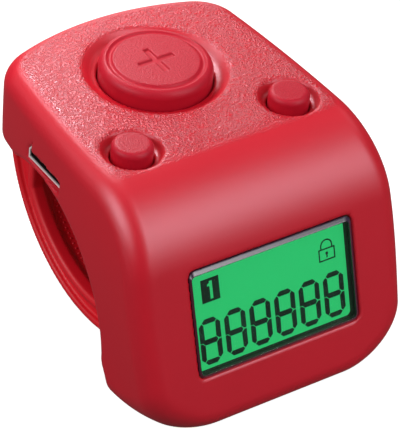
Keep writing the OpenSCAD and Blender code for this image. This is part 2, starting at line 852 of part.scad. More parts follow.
module reset_switch() {
    tact_switch(-small_x, small_y, small_switch_w, small_switch_h, small_plunger_r);
}

module lock_switch() {
    tact_switch(small_x, small_y, small_switch_w, small_switch_h, small_plunger_r);
}

count_plunger_top = board_top + count_switch_h + count_plunger_rise;
small_plunger_top = key_stop_z - stop_gap - small_flange_t;

module count_plunger() {
    tact_plunger(0, count_y, count_plunger_top, board_top + switch_floor_t + count_travel + stop_gap, count_plunger_r);
}

module small_plunger(x) {
    tact_plunger(x, small_y, small_plunger_top, board_top + switch_floor_t + small_travel + stop_gap, small_plunger_r);
}

module reset_plunger() {
    small_plunger(-small_x);
}

module lock_plunger() {
    small_plunger(small_x);
}

// Solid of a key: its cap with a soft edge and the flange that keeps it under the shell
module key_blank(cap_r, rise, flange_t) {
    top = body_h + rise;
    flange_z = key_stop_z - stop_gap - flange_t;
    translate([0, 0, flange_z]) cylinder(flange_t, r = cap_r + key_flange, $fn = round_fn);
    translate([0, 0, flange_z]) cylinder(top - cap_round - flange_z, r = cap_r, $fn = round_fn);
    translate([0, 0, top - cap_round]) rotate_extrude($fn = round_fn) {
        square([cap_r - cap_round, cap_round]);
        intersection() {
            translate([cap_r - cap_round, 0]) circle(cap_round, $fn = round_fn / 2);
            square([cap_r, cap_round]);
        }
    }
}

module count_key() {
    top = body_h + count_rise;
    flange_z = key_stop_z - stop_gap - count_flange_t;
    color([0.78, 0.13, 0.19]) translate([0, count_y, 0]) {
        difference() {
            key_blank(count_r, count_rise, count_flange_t);
            translate([0, 0, flange_z - over])
                cylinder(top - count_cap_t - flange_z + over, r = count_r - count_cap_t, $fn = round_fn);
            // round groove and the plus sign inside it
            translate([0, 0, top - groove_d]) {
                difference() {
                    cylinder(groove_d + over, r = count_groove_r + groove_w / 2, $fn = round_fn);
                    translate([0, 0, -over])
                        cylinder(groove_d + 3 * over, r = count_groove_r - groove_w / 2, $fn = round_fn);
                }
                box_at(0, 0, 0, mark_l, mark_w, groove_d + over);
                box_at(0, 0, 0, mark_w, mark_l, groove_d + over);
            }
        }
        translate([0, 0, count_plunger_top])
            cylinder(top - count_cap_t - count_plunger_top + stop_gap, r = count_post_r, $fn = round_fn);
    }
}

module small_key(x) {
    color([0.8, 0.16, 0.22]) translate([x, small_y, 0]) key_blank(small_r, small_rise, small_flange_t);
}

module reset_key() {
    small_key(-small_x);
}

module lock_key() {
    small_key(small_x);
}

// Outline of the socket, wide side down, drawn in by an inset
module port_outline(inset) {
    w = port_w / 2 - inset;
    top = port_top_w / 2 - inset / 2;
    polygon([
        [-w, inset], [w, inset], [w, port_side_h], [top, port_h - inset], [-top, port_h - inset], [-w, port_side_h]
    ]);
}

module port_frame() {
    translate([-port_mouth_x, port_y, port_z]) rotate([90, 0, -90]) children();
}

module usb_socket() {
    color([0.82, 0.83, 0.85]) {
        port_frame() translate([0, 0, -port_d]) difference() {
            linear_extrude(port_d) port_outline(0);
            translate([0, 0, -over]) linear_extrude(port_d + 2 * over) port_outline(port_sheet);
        }
        // wings soldered under the board beside its notch
        for (s = [-1, 1]) translate([
            -port_mouth_x + port_d / 2,
            port_y + s * (port_w / 2 + port_wing - port_wing_root) - port_wing,
            board_z - port_sheet - seat
        ]) cube([port_d / 3, 2 * port_wing, port_sheet]);
    }
}

module usb_tongue() {
    color([0.1, 0.1, 0.1]) port_frame() translate([0, 0, -port_d]) {
        linear_extrude(tongue_block) port_outline(port_sheet + seat);
        translate([-tongue_w / 2, port_h / 2, 0]) cube([tongue_w, tongue_t, port_d - tongue_set_back]);
    }
}

module base_screws() {
    color([0.6, 0.61, 0.63]) both_sides() translate([cover_screw_x, cover_screw_y, cover_seat_z]) {
        translate([0, 0, -cover_head_t]) cylinder(cover_head_t, r = cover_head_r, $fn = round_fn / 2);
        cylinder(cover_screw_l - stop_gap, r = cover_screw_r, $fn = round_fn / 2);
    }
}

module board_screws() {
    color([0.6, 0.61, 0.63]) for (p = BOARD_SCREWS) translate([p[0], p[1], board_z]) {
        translate([0, 0, -board_head_t]) cylinder(board_head_t, r = board_head_r, $fn = round_fn / 2);
        cylinder(board_screw_l - stop_gap, r = board_screw_r, $fn = round_fn / 2);
    }
}

top_shell();
base_cover();
strap();
display_lens();
lcd_cell();
lcd_frame();
light_guide();
backlight_leds();
contact_strip();
display_board();
controller_blob();
board_ribbon();
main_board();
count_switch();
count_plunger();
reset_switch();
reset_plunger();
lock_switch();
lock_plunger();
count_key();
reset_key();
lock_key();
usb_socket();
usb_tongue();
charge_parts();
battery_cell();
battery_tape();
battery_leads();
base_screws();
board_screws();
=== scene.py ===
"""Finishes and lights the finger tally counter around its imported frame."""

import math

import bpy
import numpy as np
from bpy.props import FloatProperty, FloatVectorProperty, IntProperty, PointerProperty
from mathutils import Matrix, Vector


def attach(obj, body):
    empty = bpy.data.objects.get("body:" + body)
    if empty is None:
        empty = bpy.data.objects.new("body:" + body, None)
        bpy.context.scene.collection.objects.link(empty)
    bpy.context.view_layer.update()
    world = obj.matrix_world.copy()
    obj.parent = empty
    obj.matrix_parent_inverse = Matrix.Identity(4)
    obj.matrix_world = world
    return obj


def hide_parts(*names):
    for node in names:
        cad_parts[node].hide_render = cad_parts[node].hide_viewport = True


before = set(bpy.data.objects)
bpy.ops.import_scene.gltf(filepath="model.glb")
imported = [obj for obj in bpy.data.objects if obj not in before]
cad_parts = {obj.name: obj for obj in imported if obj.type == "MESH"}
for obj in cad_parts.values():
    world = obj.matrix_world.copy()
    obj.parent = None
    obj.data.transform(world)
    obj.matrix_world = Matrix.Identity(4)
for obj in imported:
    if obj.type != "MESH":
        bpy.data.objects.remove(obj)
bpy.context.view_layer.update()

bl_info = {
    "name": "Finger tally counter",
    "version": (1, 0, 0),
    "blender": (4, 5, 0),
    "location": "View3D > Sidebar > Tally Counter",
    "description": "Housing, keys, display, strap and studio for a finger tally counter",
    "category": "Object",
}

MM = 0.001

# The housing's form, in millimetres, in the frame's axes
BACK_Y = 21.7
BODY_H = 27.6
EDGE_R = 2.6
FACE_TILT = math.radians(18)
LENS_Y, LENS_Z = BACK_Y - 40.03, 13.15
NOSE_R = 11.4
BOW_R = 34.5
BOW_Y = BACK_Y - BOW_R
ARCH_Y, ARCH_Z, ARCH_R = BACK_Y - 16.6, 5.0, 14.9
BACK_EDGE_Z = 18.0
WALL = 1.6
FOOT_LEDGE_Z, FOOT_OPEN_HALF, FOOT_OPEN_Y = 2.4, 8.7, BACK_Y - 40.2
HOUSING_BOX = ((-18.6, -22.4, -0.6), (18.6, 22.4, 28.2))
# Half width of the body in millimetres: factors of 1, y, z, y2, yz, z2, y3, y2z, yz2 and z3, with y taken
# from -SIDE_SHIFT and z from SIDE_MID_Z, both in centimetres
SIDE_TERMS = (17.3, -0.75, 0.158, -0.192, 0.084, -0.285, -0.015, -0.035, 0.247, -0.267)
SIDE_SHIFT, SIDE_MID_Z = 0.28, 16
BACK_CORNER_R = 5.2
# Round edge along the bottom: its least radius, its gain, where the gain starts, its run and its power
BASE_EDGE_R, BASE_EDGE_GAIN, BASE_EDGE_Y, BASE_EDGE_RUN, BASE_EDGE_POWER = 2.8, 6.0, -9, 12.5, 2.5
# Round edge along the arch: its least radius, its gain, where the gain starts and its run
ARCH_EDGE_R, ARCH_EDGE_GAIN, ARCH_EDGE_Z, ARCH_EDGE_RUN = 0.5, 1.9, 5, 3
OVERRUN = 1.0

COUNT_Y = BACK_Y - 13.4
SMALL_X, SMALL_Y = 10.6, COUNT_Y - 11.6
COUNT_R, COUNT_TOP, COUNT_DISH_R = 6.65, 28.9, 8.4
SMALL_R, SMALL_TOP, SMALL_DISH_R = 2.4, 28.5, 3.4
COUNT_EDGE_R, COUNT_LOW_Z, SMALL_EDGE_R, SMALL_LOW_Z = 1.0, 24.65, 0.65, 24.85
KEY_GAP, KEY_STOP_Z, KEY_FLANGE, FLANGE_TOP_Z, CAP_WALL = 0.15, 25.5, 1.1, 25.45, 1.3
POST_R, POST_LOW_Z, POST_TOP_DROP = 1.7, 25.3, 1.0
RING_GROOVE_R, RING_GROOVE_HALF, RING_GROOVE_LIFT, RING_GROOVE_EDGE_R = 5.42, 0.32, 0.06, 0.16
PLUS_ARM, PLUS_HALF, PLUS_DEPTH, PLUS_CORNER_R, PLUS_EDGE_R = 2.3, 0.34, 0.24, 0.1, 0.14
DISH_DEPTH, DISH_FLAT, DISH_LIP = 1.0, 0.5, 0.25
# Shares of the smooth and the round fall in a dish, and the share that keeps its field's slope near one
DISH_SMOOTH, DISH_ROUND, DISH_SLOPE = 0.55, 0.45, 0.75
WELL_WALL, WELL_TOP_DROP, WELL_LOW_Z, WELL_EDGE_R = 0.8, 0.5, 25, 0.2

LENS_W, LENS_H, LENS_CORNER_R = 22.0, 13.1, 0.9
LENS_EDGE = (-LENS_W / 2, LENS_W / 2, -LENS_H / 2, LENS_H / 2, 0.88)
LOFT_SIDES = 32
LENS_FRONT, LENS_BACK, LENS_GAP, LENS_CUT, LENS_CUT_EDGE_R = 0.25, -0.5, 0.08, 4, 0.07
# Depth of the display's ground under the face, and its thickness; gap and thickness of the printed marks
GROUND_W, GROUND_T, MARK_LIFT, MARK_T = -1.2, 0.58, 0.015, 0.012
# Figures of the display: the first one's corner, their pitch, width, height, bar and gap
DIGIT_LEFT, DIGIT_LOW, DIGIT_PITCH, DIGIT_W, DIGIT_H = -9.98, -5.6, 3.39, 2.84, 5.62
DIGIT_BAR, DIGIT_GAP = 0.66, 0.11

PORT_Y, PORT_Z, PORT_W, PORT_H, PORT_X, PORT_HOOD = BACK_Y - 16.8, 20.6, 7.5, 2.4, -16.45, 0.7
PORT_HOOD_RISE, PORT_HOOD_T, PORT_DEEP_X, PORT_GAP = 0.6, 0.02, -13, 0.08
# Unit normal of the mouth's slanted flanks, and the share of its height at which they start
PORT_FLANK, PORT_SHOULDER = (0.754, 0.656), 0.52
RECESS_Y, RECESS_Z = PORT_Y + 1.2, PORT_Z + PORT_H / 2 - 0.42
RECESS_HALF_W, RECESS_HALF_H, RECESS_R, RECESS_EDGE_R = PORT_W / 2 + 1.28, PORT_H / 2 - 0.28, 0.85, 0.15

STRAP_Y, STRAP_Z, STRAP_R, STRAP_IN_R, STRAP_HALF = BACK_Y - 19.5, 17.95, 17.95, 14.3, 12.15
STRAP_ROOT_Y, STRAP_WEB_R, STRAP_GAP = STRAP_Y + 12.2, 15.3, 0.1
STRAP_MOUTH_EDGE_R, STRAP_ROOT_EDGE_R, STRAP_SIDE_EDGE_R = 0.5, 0.15, 0.45
SIDE_GROOVE_DEPTH, SIDE_GROOVE_INSET, SIDE_GROOVE_EDGE_R = 1.0, 0.7, 0.2
PANEL_HALF, PANEL_MARGIN, PANEL_R, PANEL_EDGE_R, PANEL_LEAN = 10.4, 1.0, 1.0, 0.35, 0.5
DOT_COLUMNS, DOT_ROWS, DOT_PITCH, DOT_R, DOT_MIDDLE = 27, 50, 0.7, 0.2, math.radians(-71)

# Camera, from the photograph: place in metres, its three axes and its lens in millimetres
CAMERA_AT = (-0.155389, -0.208550, 0.217745)
CAMERA_RIGHT = (0.830352, -0.552085, 0.075615)
CAMERA_UP = (0.294851, 0.550442, 0.781074)
CAMERA_BACK = (-0.472840, -0.626272, 0.619843)
CAMERA_LENS = 239.86

PINK_SHEEN = (1.0, 0.88, 1.0, 1.0)

# Studio: strengths seen by the camera, in reflections and by the object, for the floor and the world
FLOOR_WHITE, FLOOR_LEVEL, WORLD_WHITE, WORLD_LEVEL, SHEEN_LEVEL = 0.92, 0.15, 1.0, 0.16, 0.06
FLOOR_HALF, FLOOR_DROP = 2000, 0.02
# Softboxes on a sphere round the object: height and bearing in degrees, power in watts
LAMP_REACH, LAMP_SIZE, LAMP_AIM = 0.5, 0.22, (0, 0, 0.014)
STUDIO_LAMPS = (
    ("High front softbox", 65, 300, 0.32),
    ("Upper front softbox", 50, 300, 0.48),
    ("Front softbox", 35, 290, 0.38),
    ("Low front softbox", 20, 290, 0.15),
    ("Front right softbox", 35, 310, 0.3),
    ("Low front right softbox", 20, 315, 0.1),
    ("Top softbox", 88, 0, 0.05),
    ("Side softbox", 35, 165, 0.9),
    ("Front side softbox", 35, 190, 0.5),
    ("Low side softbox", 15, 165, 0.22),
    ("Right fill", 40, 10, 0.13),
    ("Low back softbox", 8, 60, 0.36),
    ("Back side fill", 30, 130, 0.07),
)
# Small lamps mirrored by the top's left edge: place and size in metres, power in watts
GLARE_AIM = (-0.012, 0.006, 0.0276)
GLARE_LAMPS = (
    ("Edge glare card", -0.012, 0.042, 0.062, 0.014, 0.0078),
    ("Corner glare card", 0.005, 0.058, 0.072, 0.015, 0.0158),
    ("Top glare card", 0.034, 0.089, 0.104, 0.024, 0.031),
    ("Left glare lamp", 0.03, 0.32, 0.4, 0.07, 0.36),
)


# Solids as distance fields: negative inside, millimetres


def fillet(a, b, radius, lean=0.0):
    """Common part of two solids with a round edge; lean is the cosine between their surfaces."""
    p, q = a + radius, b + radius
    s = 1.0 - lean * lean
    u, v = (p - lean * q) / s, (q - lean * p) / s
    inside = np.maximum(a, b)
    edge = np.sqrt(np.maximum(u * u + v * v + 2 * lean * u * v, 0)) - radius
    return np.where((u > 0) & (v > 0), edge, inside)


def cut(a, b, radius=0.1):
    """Solid a without b, with a round edge."""
    return fillet(a, -b, radius)


def slab(t, half):
    """All points closer to zero than half."""
    return np.abs(t) - half


def box2(a, b, half_a, half_b, radius=0.0):
    """Rectangle with round corners."""
    p, q = np.abs(a) - half_a + radius, np.abs(b) - half_b + radius
    return np.hypot(np.maximum(p, 0), np.maximum(q, 0)) + np.minimum(np.maximum(p, q), 0) - radius


def ease(t):
    """Smooth rise from 0 to 1."""
    t = np.clip(t, 0, 1)
    return t * t * (3 - 2 * t)


def face_depth(y, z):
    """How far a point stands out of the display face."""
    return (LENS_Y - y) * math.cos(FACE_TILT) + (z - LENS_Z) * math.sin(FACE_TILT)


def face_up(y, z):
    """How far up the display face a point lies from the window's centre."""
    return (y - LENS_Y) * math.sin(FACE_TILT) + (z - LENS_Z) * math.cos(FACE_TILT)


def on_face(u, v, w):
    """Point of the display face: u across, v up, w outwards."""
    c, s = math.cos(FACE_TILT), math.sin(FACE_TILT)
    return (u, LENS_Y + v * s - w * c, LENS_Z + v * c + w * s)


def outer_form(x, y, z):
    """The closed outside of the housing, before the finger arch."""
    p, q = (y + SIDE_SHIFT) / 10, (z - SIDE_MID_Z) / 10
    k = SIDE_TERMS
    half = (
        k[0] + k[1] * p + k[2] * q + k[3] * p * p + k[4] * p * q + k[5] * q * q
        + k[6] * p ** 3 + k[7] * p * p * q + k[8] * p * q * q + k[9] * q ** 3
    )
    side = np.abs(x) - half
    bow = np.hypot(x, y - BOW_Y) - BOW_R
    top = z - BODY_H
    front = fillet(top, face_depth(y, z), NOSE_R, math.sin(FACE_TILT))
    ring = fillet(side, bow, BACK_CORNER_R, np.clip(np.abs(x) / np.hypot(x, y - BOW_Y), 0, 0.5))
    growth = np.clip((BASE_EDGE_Y - y) / BASE_EDGE_RUN, 0, 1) ** BASE_EDGE_POWER
    ring = fillet(ring, -z, BASE_EDGE_R + BASE_EDGE_GAIN * growth)
    return fillet(ring, front, EDGE_R)


def arch(y, z):
    """The room for the finger: a round arch, open at the back."""
    return np.minimum(np.hypot(y - ARCH_Y, z - ARCH_Z) - ARCH_R, np.maximum(z - BACK_EDGE_Z, ARCH_Y - y))


def dish(rho, bore, rim, depth):
    """Depth of a soft dish round a key."""
    t = np.clip((rim - rho) / (rim - bore), 0, 1)
    return depth * (DISH_SMOOTH * ease(t) + DISH_ROUND * (1 - (1 - t) ** 2))


def port_shape(y, z, grow):
    """Outline of the charging socket's mouth, wide side down."""
    a, b = np.abs(y - PORT_Y), z - PORT_Z
    flank = (a - PORT_W / 2) * PORT_FLANK[0] + (b - PORT_H * PORT_SHOULDER) * PORT_FLANK[1]
    return np.maximum(np.maximum(a - PORT_W / 2, np.maximum(-b, b - PORT_H)), flank) - grow


def key_well(body, x, y, z, centre, key_r, rim):
    """The body with the floor, dish and bore of one key."""
    rho = np.hypot(x - centre[0], y - centre[1])
    floor = np.maximum(rho - rim - WELL_WALL, np.maximum(KEY_STOP_Z - z, z - BODY_H + WELL_TOP_DROP))
    body = np.minimum(body, floor)
    sunk = dish(rho, key_r + DISH_FLAT, rim + DISH_LIP, DISH_DEPTH)
    body = np.maximum(body, (z - BODY_H + sunk) * DISH_SLOPE)
    return cut(body, np.maximum(rho - key_r - KEY_GAP, WELL_LOW_Z - z), WELL_EDGE_R)


def housing_field(x, y, z):
    """The hollow body with its arch, key wells, window and socket mouth."""
    outer = outer_form(x, y, z)
    hollow = np.maximum(outer + WALL, FOOT_LEDGE_Z - z)
    foot_hole = np.maximum(slab(x, FOOT_OPEN_HALF), np.maximum(FOOT_OPEN_Y - y, z - FOOT_LEDGE_Z - OVERRUN))
    hollow = np.minimum(hollow, foot_hole)
    edge = ARCH_EDGE_R + ARCH_EDGE_GAIN * ease((ARCH_EDGE_Z - z) / ARCH_EDGE_RUN)
    body = fillet(outer, -arch(y, z), edge)
    body = np.maximum(body, -hollow)
    body = key_well(body, x, y, z, (0, COUNT_Y), COUNT_R, COUNT_DISH_R)
    for side in (-SMALL_X, SMALL_X):
        body = key_well(body, x, y, z, (side, SMALL_Y), SMALL_R, SMALL_DISH_R)
    window = box2(x, face_up(y, z), LENS_W / 2 + LENS_GAP, LENS_H / 2 + LENS_GAP, LENS_CORNER_R)
    body = cut(body, np.maximum(window, -(face_depth(y, z) + LENS_CUT)), LENS_CUT_EDGE_R)
    drop = PORT_HOOD + PORT_HOOD_RISE * np.clip((y - PORT_Y + PORT_W / 2) / PORT_W, 0, 1)
    under_hood = z - PORT_Z - PORT_H + drop
    recess = box2(y - RECESS_Y, z - RECESS_Z, RECESS_HALF_W, RECESS_HALF_H, RECESS_R)
    body = cut(body, np.maximum(np.maximum(recess, under_hood), x - PORT_X), RECESS_EDGE_R)
    mouth = np.maximum(port_shape(y, z, PORT_GAP), np.minimum(under_hood, PORT_X - PORT_HOOD_T - x))
    return np.maximum(body, -np.maximum(mouth, x - PORT_DEEP_X))


def strap_field(x, y, z):
    """The loop: a ring with a groove along each side and a raised rim round its dotted panel."""
    ring = np.hypot(y - STRAP_Y, z - STRAP_Z)
    hole = np.maximum(ring - STRAP_IN_R, y - STRAP_ROOT_Y)
    room = np.minimum(np.hypot(y - ARCH_Y, z - ARCH_Z) - ARCH_R + STRAP_GAP,
                      np.maximum(z - BACK_EDGE_Z + STRAP_GAP, ARCH_Y - y))
    profile = fillet(ring - STRAP_R, -hole, STRAP_MOUTH_EDGE_R)
    profile = fillet(profile, room, STRAP_ROOT_EDGE_R)
    body = fillet(profile, slab(x, STRAP_HALF), STRAP_SIDE_EDGE_R)
    groove = np.maximum(profile + SIDE_GROOVE_DEPTH, STRAP_HALF - SIDE_GROOVE_INSET - np.abs(x))
    body = cut(body, groove, SIDE_GROOVE_EDGE_R)
    panel = fillet(ring - STRAP_WEB_R, y - STRAP_ROOT_Y - PANEL_MARGIN, PANEL_R, PANEL_LEAN)
    panel = fillet(panel, slab(x, PANEL_HALF), PANEL_R)
    return cut(body, np.maximum(panel, z - BACK_EDGE_Z + PANEL_MARGIN), PANEL_EDGE_R)


def count_key_field(x, y, z):
    """The large key: a hollow cap with a flange and a post, a round groove and a plain plus sign."""
    rho = np.hypot(x, y - COUNT_Y)
    cap = fillet(rho - COUNT_R, z - COUNT_TOP, COUNT_EDGE_R)
    body = np.maximum(cap, COUNT_LOW_Z - z)
    flange = np.maximum(rho - COUNT_R - KEY_FLANGE, np.maximum(z - FLANGE_TOP_Z, COUNT_LOW_Z - z))
    body = np.minimum(body, flange)
    body = np.maximum(body, -np.maximum(rho - COUNT_R + CAP_WALL, z - COUNT_TOP + CAP_WALL))
    post = np.maximum(rho - POST_R, np.maximum(z - COUNT_TOP + POST_TOP_DROP, POST_LOW_Z - z))
    body = np.minimum(body, post)
    groove = np.hypot(rho - RING_GROOVE_R, z - COUNT_TOP - RING_GROOVE_LIFT) - RING_GROOVE_HALF
    body = cut(body, groove, RING_GROOVE_EDGE_R)
    across = box2(x, y - COUNT_Y, PLUS_ARM, PLUS_HALF, PLUS_CORNER_R)
    along = box2(x, y - COUNT_Y, PLUS_HALF, PLUS_ARM, PLUS_CORNER_R)
    plus = np.minimum(across, along)
    return cut(body, np.maximum(plus, COUNT_TOP - PLUS_DEPTH - z), PLUS_EDGE_R)


def small_key_field(centre_x):
    """Field of a small key: a cap with a flange."""

    def field(x, y, z):
        rho = np.hypot(x - centre_x, y - SMALL_Y)
        cap = np.maximum(fillet(rho - SMALL_R, z - SMALL_TOP, SMALL_EDGE_R), SMALL_LOW_Z - z)
        flange = np.maximum(rho - SMALL_R - KEY_FLANGE, np.maximum(z - FLANGE_TOP_Z, SMALL_LOW_Z - z))
        return np.minimum(cap, flange)

    return field


CORNERS = np.array([(i, j, k) for i in (0, 1) for j in (0, 1) for k in (0, 1)])
EDGES = [(a, b) for a in range(8) for b in range(a + 1, 8) if np.abs(CORNERS[a] - CORNERS[b]).sum() == 1]


def surface_of(field, low, high, step):
    """Closed mesh of a distance field: one vertex for each cell that the surface crosses."""
    axes = [np.arange(lo, hi + step, step) for lo, hi in zip(low, high)]
    x, y, z = np.meshgrid(*axes, indexing="ij", sparse=True)
    values = (field(x, y, z) + np.zeros((len(axes[0]), len(axes[1]), len(axes[2])))).astype(np.float64)
    inside = values < 0
    shape = np.array(values.shape) - 1
    count = np.zeros(shape, np.int8)
    for i, j, k in CORNERS:
        count += inside[i : i + shape[0], j : j + shape[1], k : k + shape[2]]
    cells = np.argwhere((count > 0) & (count < 8))
    index = np.full(shape, -1, np.int64)
    index[tuple(cells.T)] = np.arange(len(cells))
    total, crossings = np.zeros((len(cells), 3)), np.zeros(len(cells))
    for a, b in EDGES:
        fa, fb = values[tuple((cells + CORNERS[a]).T)], values[tuple((cells + CORNERS[b]).T)]
        hit = (fa < 0) != (fb < 0)
        t = np.where(hit, fa / np.where(hit, fa - fb, 1), 0)[:, None]
        total += hit[:, None] * (CORNERS[a] + t * (CORNERS[b] - CORNERS[a]))
        crossings += hit
    points = np.array(low) + step * (cells + total / crossings[:, None])
    faces = []
    for axis in range(3):
        others = [a for a in range(3) if a != axis]
        first = inside.take(range(values.shape[axis] - 1), axis)
        second = inside.take(range(1, values.shape[axis]), axis)
        for state in (True, False):
            at = np.argwhere((first == state) & (second != state))
            at = at[(at[:, others[0]] > 0) & (at[:, others[1]] > 0)]
            ring = []
            for p, q in ((0, 0), (1, 0), (1, 1), (0, 1)):
                cell = at.copy()
                cell[:, others[0]] -= p
                cell[:, others[1]] -= q
                ring.append(index[tuple(cell.T)])
            quad = np.stack(ring, 1)
            faces.append(quad[:, ::-1] if state == (axis == 1) else quad)
    faces = np.concatenate(faces)
    # The points settle on the surface, none further than a cell from where it started
    start = points.copy()
    for _ in range(5):
        value, slope = field_at(field, points)
        move = value[:, None] * slope / np.maximum((slope**2).sum(1), 0.05)[:, None]
        points = points - np.clip(move, -step / 3, step / 3)
        points = start + np.clip(points - start, -step, step)
    return points, faces, field_at(field, points)[1]


def field_at(field, points, reach=0.02):
    """Value and slope of a field at points."""
    x, y, z = points.T
    slope = np.stack(
        [
            field(x + reach, y, z) - field(x - reach, y, z),
            field(x, y + reach, z) - field(x, y - reach, z),
            field(x, y, z + reach) - field(x, y, z - reach),
        ],
        1,
    ) / (2 * reach)
    return field(x, y, z), slope


def mesh_object(name, points, faces, smooth=True):
    """Mesh object from millimetre points."""
    mesh = bpy.data.meshes.new(name)
    points = np.asarray(points, float) * MM
    if isinstance(faces, np.ndarray):
        mesh.vertices.add(len(points))
        mesh.vertices.foreach_set("co", points.ravel())
        mesh.loops.add(faces.size)
        mesh.loops.foreach_set("vertex_index", faces.ravel().astype(np.int32))
        mesh.polygons.add(len(faces))
        mesh.polygons.foreach_set("loop_start", np.arange(0, faces.size, faces.shape[1], dtype=np.int32))
        mesh.update(calc_edges=True)
    else:
        mesh.from_pydata([tuple(p) for p in points], [], faces)
    mesh.polygons.foreach_set("use_smooth", [smooth] * len(mesh.polygons))
    mesh.update()
    thing = bpy.data.objects.new(name, mesh)
    bpy.context.scene.collection.objects.link(thing)
    return thing


def moulded(name, field, low, high, step, material, body, slot, *replaced):
    """A moulding made from its field, put in place of its CAD node."""
    points, faces, slope = surface_of(field, low, high, step)
    thing = mesh_object(name, points, faces)
    thing.data.materials.append(material)
    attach(thing, body)
    if replaced:
        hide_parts(*replaced)
    return thing


# Materials


def fed(links, socket, value):
    """Gives an input its value, or links it to an output."""
    if isinstance(value, bpy.types.NodeSocket):
        links.new(value, socket)
    else:
        socket.default_value = value


def maths(nodes, links, operation, *values):
    """Output of a math node."""
    node = nodes.new("ShaderNodeMath")
    node.operation = operation
    for socket, value in zip(node.inputs, values):
        fed(links, socket, value)
    return node.outputs[0]


def mixed(nodes, links, kind, factor, a, b):
    """Output of a mix of two values, kind FLOAT or RGBA."""
    node = nodes.new("ShaderNodeMix")
    node.data_type = kind
    for label, value in (("Factor", factor), ("A", a), ("B", b)):
        fed(links, node.inputs[label], value)
    return node.outputs["Result"]


def shared_group(name, inputs, outputs):
    """New shader group with its sockets, or None where it is there already."""
    if name in bpy.data.node_groups:
        return None
    tree = bpy.data.node_groups.new(name, "ShaderNodeTree")
    for label, kind, value in inputs:
        socket = tree.interface.new_socket(label, in_out="INPUT", socket_type="NodeSocket" + kind)
        if value is not None:
            socket.default_value = value
    for label, kind in outputs:
        tree.interface.new_socket(label, in_out="OUTPUT", socket_type="NodeSocket" + kind)
    return tree


def group_grain():
    """Bump of a moulded surface: worm-like texture where the mask is 1, fine unevenness elsewhere."""
    name = "Moulded grain"
    inputs = (("Mask", "Float", 1.0), ("Grain", "Float", 4000.0), ("Depth", "Float", 0.5),
              ("Fine", "Float", 0.05))
    tree = shared_group(name, inputs, (("Height", "Float"), ("Peaks", "Float"), ("Pits", "Float")))
    if tree:
        nodes, links = tree.nodes, tree.links
        given, out = nodes.new("NodeGroupInput").outputs, nodes.new("NodeGroupOutput").inputs
        place = nodes.new("ShaderNodeTexCoord")
        worm = nodes.new("ShaderNodeTexNoise")
        worm.inputs["Detail"].default_value = 1.5
        worm.inputs["Distortion"].default_value = 0.6
        links.new(place.outputs["Object"], worm.inputs["Vector"])
        links.new(given["Grain"], worm.inputs["Scale"])
        ridge = nodes.new("ShaderNodeMapRange")
        ridge.inputs["From Min"].default_value = 0.36
        ridge.inputs["From Max"].default_value = 0.64
        links.new(worm.outputs["Fac"], ridge.inputs["Value"])
        peaks = maths(nodes, links, "MULTIPLY", ridge.outputs["Result"], given["Mask"])
        fine = nodes.new("ShaderNodeTexNoise")
        fine.inputs["Scale"].default_value = 9000.0
        fine.inputs["Detail"].default_value = 2.0
        links.new(place.outputs["Object"], fine.inputs["Vector"])
        deep = maths(nodes, links, "MULTIPLY", peaks, given["Depth"])
        weak = maths(nodes, links, "MULTIPLY", fine.outputs["Fac"], given["Fine"])
        links.new(maths(nodes, links, "ADD", deep, weak), out["Height"])
        links.new(peaks, out["Peaks"])
        links.new(maths(nodes, links, "SUBTRACT", given["Mask"], peaks), out["Pits"])
    return bpy.data.node_groups[name]


def group_tone():
    """Slow drift of a colour between two shades."""
    name = "Colour drift"
    inputs = (("Light", "Color", None), ("Dark", "Color", None), ("Scale", "Float", 120.0))
    tree = shared_group(name, inputs, (("Color", "Color"),))
    if tree:
        nodes, links = tree.nodes, tree.links
        given, out = nodes.new("NodeGroupInput").outputs, nodes.new("NodeGroupOutput").inputs
        place = nodes.new("ShaderNodeTexCoord")
        drift = nodes.new("ShaderNodeTexNoise")
        drift.inputs["Detail"].default_value = 3.0
        links.new(place.outputs["Object"], drift.inputs["Vector"])
        links.new(given["Scale"], drift.inputs["Scale"])
        shade = mixed(nodes, links, "RGBA", drift.outputs["Fac"], given["Dark"], given["Light"])
        links.new(shade, out["Color"])
    return bpy.data.node_groups[name]


def finish_of(name, colour, roughness=0.4, drift=0.06, metallic=0.0, fine=0.05, bump=0.00006, **sockets):
    """Material with drifting colour and a moulded surface; other Principled inputs by name."""
    material = bpy.data.materials.new(name)
    material.use_nodes = True
    nodes, links = material.node_tree.nodes, material.node_tree.links
    shader = nodes["Principled BSDF"]
    tone = nodes.new("ShaderNodeGroup")
    tone.node_tree = group_tone()
    tone.inputs["Light"].default_value = (*[min(1, c * (1 + drift)) for c in colour], 1)
    tone.inputs["Dark"].default_value = (*[c * (1 - drift) for c in colour], 1)
    links.new(tone.outputs["Color"], shader.inputs["Base Color"])
    relief = nodes.new("ShaderNodeGroup")
    relief.node_tree = group_grain()
    relief.inputs["Mask"].default_value = 0.0
    relief.inputs["Fine"].default_value = fine
    push = nodes.new("ShaderNodeBump")
    push.inputs["Distance"].default_value = bump
    links.new(relief.outputs["Height"], push.inputs["Height"])
    links.new(push.outputs["Normal"], shader.inputs["Normal"])
    shader.inputs["Roughness"].default_value = roughness
    shader.inputs["Metallic"].default_value = metallic
    for label, value in sockets.items():
        shader.inputs[label.replace("_", " ")].default_value = value
    return material


def height_mask(nodes, links, low, high, axis="Z"):
    """1 above high, 0 below low, along an object axis, in metres."""
    place = nodes.new("ShaderNodeTexCoord")
    split = nodes.new("ShaderNodeSeparateXYZ")
    links.new(place.outputs["Object"], split.inputs[0])
    ramp = nodes.new("ShaderNodeMapRange")
    ramp.inputs["From Min"].default_value = low
    ramp.inputs["From Max"].default_value = high
    links.new(split.outputs[axis], ramp.inputs["Value"])
    return ramp.outputs["Result"]


